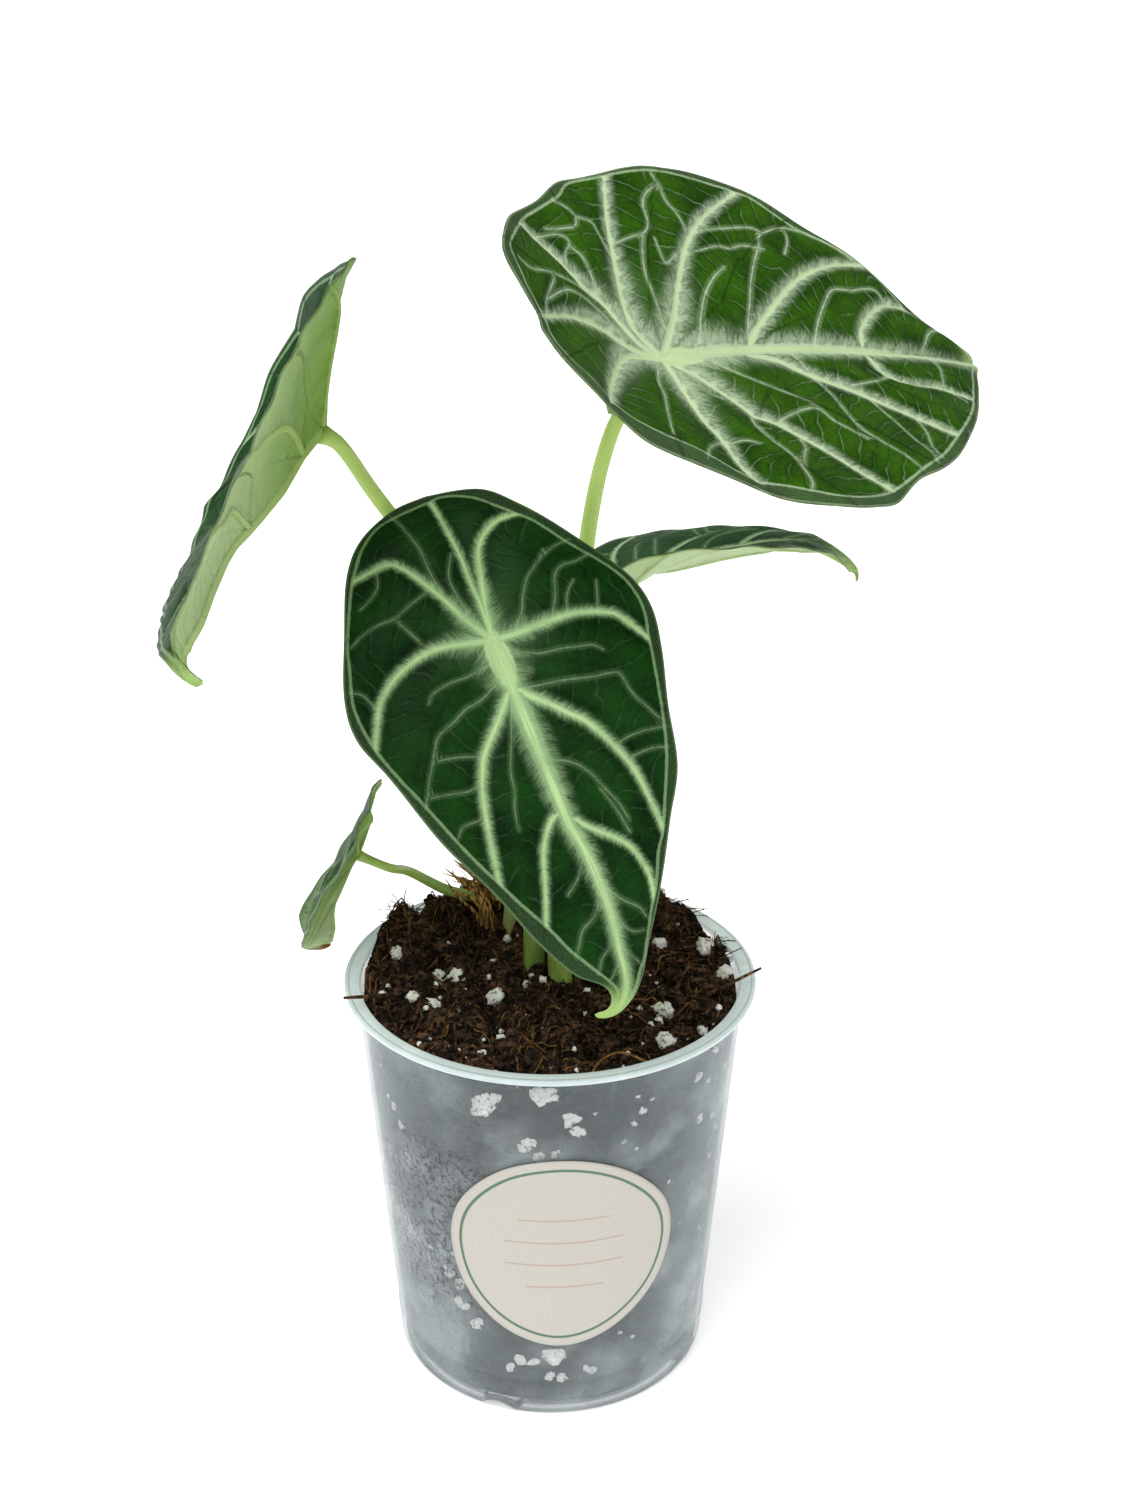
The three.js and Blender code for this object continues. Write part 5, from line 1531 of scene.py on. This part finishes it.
# %% Crumbs
CRUMBS = 2600
CRUMB_LIMIT = 53.5
CLODS = 150
CLOD_LIMIT = 52
ROUGH = 0.9
LOWEST_RELIEF = -0.5
crumbs = Pile()
while len(crumbs.points) < CRUMBS * len(BALLS[1][0]):
    x, y = anywhere(CRUMB_LIMIT)
    size = chance.uniform(0.5, 1.5) * (1.3 if chance.random() < 0.15 else 1)
    relief = surface_spot(x, y)[2] - root_spot(x, y)[2]
    if clear_of_stems(x, y, size) and (relief > LOWEST_RELIEF or chance.random() < 0.25):
        lift = chance.uniform(-0.3, 0.6)
        crumbs.ball(surface_spot(x, y, lift), size, ROUGH, 1, chance.uniform(0, 99),
                    (1, chance.uniform(0.6, 1), chance.uniform(0.5, 0.9)))
for _ in range(CLODS):
    x, y = anywhere(CLOD_LIMIT)
    size = chance.uniform(1.6, 3.2)
    if clear_of_stems(x, y, size):
        crumbs.ball(surface_spot(x, y, size * 0.1), size, ROUGH, 2, chance.uniform(0, 99),
                    (1, chance.uniform(0.6, 1), chance.uniform(0.5, 0.8)))
crumbs.dressed("mix_crumbs", mix_finish("crumb_peat", paint(18, 13, 10), paint(122, 90, 66)))

# %% [markdown]
# Coir gives the mix short brown fibres that stroll over the surface, and stiffer sticks. Golden threads
# are the plant's own fine roots, and on the heaps a fuzz of loose hair stands up. Hair curves would be
# lost in the export too, so each one is a thin tube along a path that turns a little at every step.

# %% Fibres and roots
WALL_LIMIT = 54


def wander(x, y, length, lift, bend, steps=9):
    """A path that strolls over the mix and now and then rises from it."""
    heading = chance.uniform(0, 2 * math.pi)
    rise = chance.uniform(0, lift)
    path = []
    for i in range(steps):
        share = i / (steps - 1)
        path.append(surface_spot(x, y, 0.4 + rise * math.sin(math.pi * min(1, share * 1.2))))
        heading += chance.uniform(-bend, bend)
        x, y = x + math.cos(heading) * length / steps, y + math.sin(heading) * length / steps
        if math.hypot(x, y) > WALL_LIMIT:
            heading += math.pi / 2
            x, y = x * 0.97, y * 0.97
    return path


FIBRES = 820
FINE_ROOTS = 90
STICKS = 70
HEAP_LEVEL = 124
fibres, roots = Pile(), Pile()
for _ in range(FIBRES):
    x, y = anywhere(53)
    lift = 4.0 if root_spot(x, y)[2] > HEAP_LEVEL else 1.4
    fibres.tube(wander(x, y, chance.uniform(4, 14), lift, 0.7), chance.uniform(0.12, 0.32), 4)
for _ in range(FINE_ROOTS):
    x, y = anywhere(52)
    roots.tube(wander(x, y, chance.uniform(8, 24), 2.2, 0.5, 12), chance.uniform(0.12, 0.26), 4)
for _ in range(STICKS):
    x, y = anywhere(50)
    fibres.tube(wander(x, y, chance.uniform(6, 20), 2.0, 0.16, 8), chance.uniform(0.3, 0.55), 5)
# One root loops up from the mix at the front: places and how high each is above the surface
ROOT_LOOP = [(11, -47, 0.6), (14, -42, 2.0), (20, -40, 2.6), (28, -42, 1.2), (33, -44, 0.4)]
loop_line = Line([tuple(surface_spot(x, y, lift)) for x, y, lift in ROOT_LOOP])
roots.tube(loop_line.at(np.linspace(0, 1, 24)), 0.35, 6)
print(len(fibres.faces), "faces of fibre and", len(roots.faces), "of root laid")

# %% Fuzz and twigs
# Each fuzzy heap: its place and how many strands
FUZZY_HEAPS = [(36, 38, 230), (48, 17, 120), (-45, 24, 130), (-24, 43, 90), (0, 40, 60), (50, 0, 30)]
FUZZ_LIMIT = 52
fuzz = Pile()
for heap_x, heap_y, strands in FUZZY_HEAPS:
    for _ in range(strands):
        x, y = heap_x + chance.gauss(0, 4.5), heap_y + chance.gauss(0, 4.5)
        if math.hypot(x, y) > FUZZ_LIMIT:
            continue
        lean = np.array((chance.gauss(0, 0.8), chance.gauss(0, 0.6), chance.uniform(0.3, 1.1)))
        droop = np.array((chance.gauss(0, 1.0), chance.gauss(0, 0.6), chance.uniform(-1.2, 0.2)))
        length = chance.uniform(2.5, 6.5)
        start = surface_spot(x, y, -0.5)
        path = [start + (lean * t + droop * t * t * 0.6) * length for t in np.linspace(0, 1, 7)]
        fuzz.tube(path, chance.uniform(0.08, 0.17), 4)
# The two bark twigs that stick out over the lip: root, middle, end and radius
TWIGS = [
    ((-43, -7), (-50, -16, 125.5), (-58, -24, 129.5), 0.85),
    ((44, -4), (52, -8, 125.0), (61, -6, 129), 0.75),
]
TWIG_STEPS = 14
for root, middle, end, radius in TWIGS:
    twig = Line([tuple(surface_spot(*root)), middle, end])
    fibres.tube(twig.at(np.linspace(0, 1, TWIG_STEPS)), np.linspace(radius, radius * 0.5, TWIG_STEPS), 7)
fibres.dressed("mix_fibres", mix_finish("coir", paint(48, 32, 22), paint(150, 112, 76)))
roots.dressed("fine_roots", mix_finish("root_skin", paint(128, 88, 44), paint(186, 142, 84)))
fuzz.dressed("coir_fuzz", mix_finish("coir_hair", paint(84, 54, 32), paint(150, 108, 66)))

# %% [markdown]
# Perlite is volcanic glass that was puffed up like popcorn: white, light and pitted. One ball is too
# round for the larger grains, so each of them is three rough balls grown together. They lie where the
# picture shows them, and the small ones by chance. The painted shade in the pits and the stains are
# left to the finish.

# %% Perlite
# Each: place and radius in mm
LARGE_GRAINS = [
    (32, -10, 3.6), (33, -33, 3.0), (-34, -10, 2.8), (-33, 8, 2.8), (-27, 3, 3.0), (-15, -9, 3.0),
    (45, 14, 3.0), (51, 6, 2.6), (33, 23, 2.4), (-5, 36.5, 3.0), (-40, -10, 2.2), (-46, 11, 2.2),
    (43, -23, 2.0), (-14, -28, 1.9), (-25, -32, 1.9), (31, -22, 1.8), (-17, 14, 1.6), (-7, 6, 1.6),
    (-2, 1, 1.5), (11, -6, 1.3), (10, -12, 1.3), (-19, -26, 1.6), (-10, -33, 1.5), (-29, -36, 1.5),
    (-18, -39, 1.4), (-45, 42, 1.0), (-33, 40, 1.6), (-13, 30, 1.5), (34, 43, 1.5), (54, 18, 1.6),
    (-45, 0, 1.6), (-49, -5, 1.5), (-16, 50, 1.3), (47, -30, 1.2), (22, -46, 1.3),
]
SMALL_GRAINS = 150
CLUSTER_FROM = 2.1
GRAIN_ROUGH = 0.45
grains = Pile()
for number, (x, y, radius) in enumerate(LARGE_GRAINS):
    for _ in range(3 if radius > CLUSTER_FROM else 1):
        spread = radius * 0.35
        near = x + chance.uniform(-spread, spread), y + chance.uniform(-spread, spread)
        spot = surface_spot(*near, radius * 0.35)
        grains.ball(spot, radius * chance.uniform(0.65, 0.85), GRAIN_ROUGH, 3, number * 1.7 + chance.random())
for _ in range(SMALL_GRAINS):
    x, y = anywhere(52)
    radius = chance.uniform(0.35, 0.95)
    if clear_of_stems(x, y, radius):
        grains.ball(surface_spot(x, y, radius * 0.6), radius, GRAIN_ROUGH, 2, chance.uniform(0, 99))
print(len(grains.faces), "faces of perlite laid")

# %% Perlite finish
perlite = Finish("perlite", Roughness=0.9, Specular_IOR_Level=0.25)
place = perlite.place_mm()
# Painted shade: dark spots where the pits of the grains would hold shade
pit_shade = perlite.cloud(place, 0.55, 4.0, 0.7).ramp(0.56, 0.61)
soiled = perlite.cloud(place, 0.3, 3.0).ramp(0.5, 0.75)
perlite.feed("Base Color", perlite.layers(
    paint(255, 254, 248),
    (soiled * 0.35, paint(214, 206, 190)),
    (pit_shade * 0.8, paint(84, 72, 60)),
))
perlite.bump(perlite.cloud(place, 2.2, 4.0, 0.7), 0.5)
grains.dressed("perlite_grains", perlite)

# %% [markdown]
# Grains that lie against the wall show through it as soft white blobs. Whole balls would stick out
# through the plastic, so these are flat lenses bent round the side of the mix. The clearest ones lie
# where the picture shows them, and others are scattered by chance.

# %% Grains against the wall
# Each: millimetres along the wall from the front, height, radius
WALL_GRAINS = [
    (-1, 116, 2.8), (-20, 111, 2.6), (-17, 113, 1.8), (6, 108, 1.9), (8, 104, 1.7), (-6, 99, 1.8),
    (1, 96, 1.0), (-3, 95, 1.2), (-33, 47, 1.8), (-29, 43, 1.9), (-23, 42, 1.6), (-17, 41, 1.2),
    (-28, 36, 1.9), (-23, 31, 1.6), (1, 24, 2.8), (-10, 21, 1.9), (-5, 20, 1.4), (0, 15, 1.5),
    (4, 14, 1.4), (12, 16, 1.3), (18, 40, 1.6), (28, 41, 1.2), (24, 36, 1.0), (22, 98, 0.6),
    (25, 103, 0.7), (28, 107, 0.8), (31, 110, 0.6), (26, 112, 0.5), (-40, 52, 1.0), (-12, 17, 1.2),
]
CHANCE_GRAINS = 150
LENS_DEPTH = 0.22
# Grains laid by chance are small where the picture shows the wall
SHOWN_HALF = 48
SMALL_RADIUS = 0.9


def wall_lens(along, z, radius):
    """Points of a flat uneven grain against the wall."""
    wall = mix_radius(z)
    angle = along / wall_radius(z)
    seed = chance.uniform(0, 99)
    shift = Vector((seed, -seed, seed * 0.3))
    shaped = []
    for point in BALLS[2][0]:
        swell = radius * (1 + 0.7 * noise.noise(Vector((point.x, 0, point.z)) * 1.8 + shift))
        turn, reach = angle + point.x * swell / wall, wall - point.y * LENS_DEPTH
        shaped.append((reach * math.sin(turn), -reach * math.cos(turn), z + point.z * swell))
    return shaped


random_spots = [(chance.uniform(-170, 170), chance.uniform(8, 116), chance.uniform(0.4, 1.7))
                for _ in range(CHANCE_GRAINS)]
wall_spots = [(along + chance.uniform(-0.8, 0.8) * radius, z + chance.uniform(-0.7, 0.7) * radius,
               radius * chance.uniform(0.7, 1.1)) for along, z, radius in WALL_GRAINS for _ in range(3)]
wall_spots += [spot for spot in random_spots if abs(spot[0]) > SHOWN_HALF or spot[2] < SMALL_RADIUS]
wall_grains = Pile()
for spot in wall_spots:
    wall_grains.add(wall_lens(*spot), BALLS[2][1])
wall_grains.dressed("perlite_at_wall", perlite)

# %% [markdown]
# The stems are round and fleshy, thick where they leave the mix and slender under the blade, where they
# flare a little to meet it. A curve with a bevel would sweep them too, but it can't store the height that
# the finish reads. So each is swept by formula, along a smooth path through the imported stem's points. Only
# the left and small leaves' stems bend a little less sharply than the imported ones.

# %% Stems
STEM_DEPTH = 12.0
STEM_STRAIGHT = 12.0
STEM_REACH = 9.0
STEM_SECTIONS = 90
STEM_SIDES = 28
STEM_TAPER = 0.6
PATH_STEPS = 40
FLARE = 0.45
FLARE_LENGTH = 2.2
BARK_RADIUS = 3


def centripetal(points):
    """A smooth path through points that doesn't overshoot at sharp turns."""
    knots = [np.array(point, dtype=float) for point in points]
    knots = [2 * knots[0] - knots[1]] + knots + [2 * knots[-1] - knots[-2]]
    path = []
    for p0, p1, p2, p3 in zip(knots, knots[1:], knots[2:], knots[3:]):
        gaps = [np.linalg.norm(b - a) ** 0.5 for a, b in ((p0, p1), (p1, p2), (p2, p3))]
        leave = ((p1 - p0) / gaps[0] - (p2 - p0) / (gaps[0] + gaps[1]) + (p2 - p1) / gaps[1]) * gaps[1]
        arrive = ((p2 - p1) / gaps[1] - (p3 - p1) / (gaps[1] + gaps[2]) + (p3 - p2) / gaps[2]) * gaps[1]
        path.append(cubic_steps(p1, p2, leave, arrive, PATH_STEPS))
    return np.vstack(path + [knots[-2][None]])


def make_stem(leaf):
    stem = leaf["stem"]
    lean = unit(np.array((*stem["lean"], 1.0)))
    root = root_spot(*stem["root"])
    up = leaf["up"]
    tip = np.array(leaf["join"]) - up * (BLADE_THICKNESS + GAP)
    straight = stem.get("straight", STEM_STRAIGHT)
    knots = [root + lean * reach for reach in (-STEM_DEPTH, -STEM_DEPTH / 3, straight / 3, straight)]
    reach = stem.get("reach", STEM_REACH)
    knots += [np.array(point, dtype=float) for point in stem["path"]] + [tip - up * reach, tip]
    path = centripetal(knots)
    arc = arc_lengths(path)
    share = np.linspace(0, 1, STEM_SECTIONS)
    centres = np.stack([np.interp(share * arc[-1], arc, axis) for axis in path.T], -1)
    directions = unit(np.gradient(centres, axis=0))
    wide, narrow = stem["radii"]
    left = (1 - share) * arc[-1]
    radii = (wide + (narrow - wide) * share**STEM_TAPER) * (1 + FLARE * np.exp(-left / FLARE_LENGTH))
    side = np.array((1.0, 0.0, 0.0))
    turn = round_angles(STEM_SIDES)
    rings = []
    for centre, direction, radius in zip(centres, directions, radii):
        side = unit(side - direction * (side @ direction))
        across = np.cross(direction, side)
        rings.append(centre + radius * (np.outer(np.cos(turn), side) + np.outer(np.sin(turn), across)))
    faces = grid_faces(STEM_SECTIONS, STEM_SIDES, closed=True) + end_caps(STEM_SECTIONS, STEM_SIDES)
    above = np.repeat(centres[:, 2] - root[2], STEM_SIDES)
    round_stem = np.tile(turn, STEM_SECTIONS)
    bark = BARK_RADIUS * np.column_stack([np.cos(round_stem), np.sin(round_stem)])
    stored = {"stem": np.column_stack([above, bark])}
    return make_piece(leaf["name"] + "_stalk", np.concatenate(rings), faces, stored)


print("a stem is swept in", STEM_SECTIONS, "rings of", STEM_SIDES, "points")

# %% [markdown]
# A stem is darker near the mix and lighter above it, with fine streaks that run up it and a few flecks.
# The streaks are noise that changes fast round the stem and slowly along it.

# %% Stem finish
def stem_finish(name, base, fresh):
    finish = Finish(name, Roughness=0.42, Specular_IOR_Level=0.45, Subsurface_Weight=0.15,
                    Subsurface_Scale=0.002)
    where = finish.stored("stem", "Vector")
    above, first, second = finish.split(where)
    streaks = finish.cloud(finish.join(above * 0.06, first * 1.6, second * 1.6), 1.0, 4.0, 0.6)
    flecks = finish.cloud(where, 0.9, 3.0, 0.6).ramp(0.58, 0.75)
    finish.feed("Base Color", finish.layers(
        finish.mix(above.ramp(2.0, 34.0), base, fresh),
        (streaks.ramp(0.35, 0.75) * 0.5, paint(188, 208, 122)),
        (flecks * 0.3, paint(120, 150, 66)),
    ))
    finish.bump(streaks, 0.15, 0.5)
    return finish


green_stem = stem_finish("green_stem", paint(120, 150, 60), paint(162, 192, 92))
for leaf in LEAVES:
    dress(make_stem(leaf), green_stem, "leaf_stem", leaf["name"] + "_stem")

# %% [markdown]
# Beside the small leaf the withered sheath of an old leaf has split into dry brown ribbons, and next to
# it stands the stub of a stem that was cut away. Flat planes would vanish when seen on edge, so each
# ribbon has a thickness and a curved section. Some fan out behind the small leaf's stem and some in front.

# %% Dry sheath
SHEATH_ROOT = (-16.5, 40.2)
RIBBON_ROWS = 18
# Section of a ribbon: share of its half width across, and outward
RIBBON_SECTION = [(-1, 0.35), (-0.4, 0), (0.4, 0), (1, 0.35), (0.4, -0.28), (-0.4, -0.28)]
# The strips that fan out behind: tip, width and how far each bows out in mm
STRIPS = [
    ((-30, 42, 140), 3.4, 0.8), ((-25, 43.5, 139), 3.2, -0.6), ((-19, 44.5, 137), 3.0, 0.5),
    ((-32.5, 41, 137.5), 2.8, -0.9), ((-13.5, 44, 132), 2.4, 0.6), ((-29, 36.5, 137), 3.4, 0.9),
    ((-26, 37.5, 139.5), 3.0, 0.4), ((-24, 35.5, 134), 2.6, 1.2),
]
sheath = Pile()


def ribbon(start, end, width, sway):
    start, end = np.array(start, dtype=float), np.array(end, dtype=float)
    along = end - start
    across = unit(np.cross(along, (0, 0, 1.0)))
    outward = unit(np.cross(across, along))
    points = []
    for share in np.arange(RIBBON_ROWS) / (RIBBON_ROWS - 1):
        centre = start + along * share + outward * sway * math.sin(math.pi * share)
        half = width / 2 * (1 - share**1.6) + 0.12
        for offset, depth in RIBBON_SECTION:
            points.append(centre + across * half * offset + outward * (depth * half + 0.02))
    sides = len(RIBBON_SECTION)
    sheath.add(points, grid_faces(RIBBON_ROWS, sides, closed=True) + end_caps(RIBBON_ROWS, sides))


foot = root_spot(*SHEATH_ROOT)
sheath.tube([foot + (0, 0, z) for z in np.linspace(-5, 5.4, 8)], np.linspace(2.0, 1.7, 8), 14)
fan = foot + (-0.6, -2.6, 2.5)
for number, (tip, width, sway) in enumerate(STRIPS):
    ribbon(fan, tip, width, sway)
    # A narrower one beside it, which leans left and right by turns
    beside = np.array(tip) - (fan - tip) * 0.02 + (0.9 * (-1) ** number, 0.5, -2.2)
    ribbon(fan + (0.4, 0.2, 0), beside, width * 0.5, 1.1)
print(len(STRIPS) * 2, "strips behind the stem")

# %% Strands in front of the small leaf's stem
# Width, then points from foot to tip
STRANDS = [
    (2.2, (-19.0, 31.0, 120), (-20.4, 30.6, 130.8), (-24.2, 30.2, 136.1), (-28.1, 29.9, 139.3),
     (-29.5, 29.5, 142.6)),
    (2.0, (-19.6, 31.2, 120), (-21.6, 30.5, 129.8), (-25.8, 29.6, 134.2), (-31.1, 29.0, 136.1)),
    (1.8, (-18.4, 31.0, 120), (-19.8, 30.2, 129.8), (-22.7, 29.8, 134.5), (-26.9, 29.2, 136.8)),
    (2.2, (-18.1, 31.2, 120), (-18.6, 30.8, 129.8), (-20.9, 30.4, 134.2), (-23.6, 30.0, 137.5)),
    (1.4, (-20.2, 31.0, 120), (-23.1, 30.2, 128.1), (-27.0, 29.4, 132.5), (-31.6, 29.0, 139.9)),
    (1.8, (-17.8, 31.4, 119), (-18.0, 31.0, 126.8), (-19.2, 30.6, 131.8), (-20.0, 30.2, 135.1)),
    (0.9, (-19.2, 30.6, 120), (-21.0, 29.8, 131.5), (-23.4, 29.2, 138.0), (-27.0, 29.0, 141.0)),
]
STRAND_ROWS = 26
STRAND_DEPTH = np.array((0, 0.22, 0))
share = np.linspace(0, 1, STRAND_ROWS)
for width, *knots in STRANDS:
    path = Line(knots).at(share)
    across = unit(np.cross(np.gradient(path, axis=0), (0, 1.0, 0)))
    half = across * (width / 2 * (1 - share**1.5) + 0.13)[:, None]
    rings = np.stack([path - half, path + STRAND_DEPTH, path + half, path - STRAND_DEPTH], axis=1)
    sheath.add(rings.reshape(-1, 3), grid_faces(STRAND_ROWS, 4, closed=True) + end_caps(STRAND_ROWS, 4))
dry = Finish("dry_sheath", Roughness=0.8, Specular_IOR_Level=0.25)
across, depth, up = dry.split(dry.place_mm())
streak = dry.cloud(dry.join(across * 1.5, depth * 1.5, up * 0.22), 1.0, 4.0, 0.65)
dry.feed("Base Color", dry.mix(streak.ramp(0.42, 0.58), paint(70, 40, 20), paint(226, 176, 104)))
dry.bump(streak, 0.6)
sheath.dressed("withered_sheath", dry, "dry_sheath", "dry_sheath")

# %% Cut stub
STUB_ROOT = (-12, 33.5)
# Heights above the mix and radii, from its foot in the mix to the rounded cut
STUB_PROFILE = [
    (-5, 2.6), (-2, 2.6), (0, 2.55), (2, 2.4), (4, 2.2), (5.5, 2.05), (6.3, 1.95), (6.8, 1.7), (7, 1),
]
STUB_SIDES = 28
# The stub is coloured as a stem is this far above the mix
STUB_COLOUR_LEVEL = 20
stub_foot = root_spot(*STUB_ROOT)
stub = Pile()
stub_path = [stub_foot + (0, 0, height) for height, _ in STUB_PROFILE]
stub.tube(stub_path, [radius for _, radius in STUB_PROFILE], STUB_SIDES)
where = [(z - stub_foot[2] + STUB_COLOUR_LEVEL, x, y) for x, y, z in stub.points]
stub_piece = make_piece("cut_stub", stub.points, stub.faces, {"stem": where})
stub_skin = stem_finish("stub_skin", paint(140, 150, 84), paint(178, 188, 120))
dress(stub_piece, stub_skin, "leaf_stem", "stem_stub")

# %% [markdown]
# The plant stands on a plain white floor that reaches past the edges of the picture, as a studio sweep
# does. The light could come from panels, but they would show as spots on the satiny leaves. Two broad far
# lights are used: a strong one from above and a little to the left, and a weaker one from the right. A dim
# white sky fills in the shadows.

# %% Floor and light
FLOOR_SIZE = 12
bpy.context.scene.view_settings.view_transform = "Standard"
bpy.ops.mesh.primitive_plane_add(size=FLOOR_SIZE)
floor = bpy.context.object
floor.name = "studio_floor"
floor_finish = Finish("studio_floor", Roughness=0.9, Specular_IOR_Level=0.1, Emission_Strength=0.45)
floor_finish.surface.inputs["Base Color"].default_value = paint(252, 252, 252)
floor_finish.surface.inputs["Emission Color"].default_value = paint(255, 255, 255)
floor.data.materials.append(floor_finish.material)
floor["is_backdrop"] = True

SKY = (1.0, 1.0, 1.0, 1.0)
SKY_STRENGTH = 0.3
world = bpy.data.worlds.new("studio")
world.use_nodes = True
sky = world.node_tree.nodes["Background"]
sky.inputs["Color"].default_value = SKY
sky.inputs["Strength"].default_value = SKY_STRENGTH
bpy.context.scene.world = world


def soft_light(name, comes_from, spread, strength):
    """A broad light from far away: spread is how wide it looks, in degrees."""
    data = bpy.data.lights.new(name, "SUN")
    data.angle = math.radians(spread)
    data.energy = strength
    lamp = bpy.data.objects.new(name, data)
    lamp.rotation_euler = Vector(comes_from).to_track_quat("Z", "Y").to_euler()
    bpy.context.collection.objects.link(lamp)
    print(name, strength)


soft_light("key_light", (-0.35, -0.38, 1.0), 50, 2.4)
soft_light("fill_light", (0.8, -0.7, 0.6), 80, 0.8)
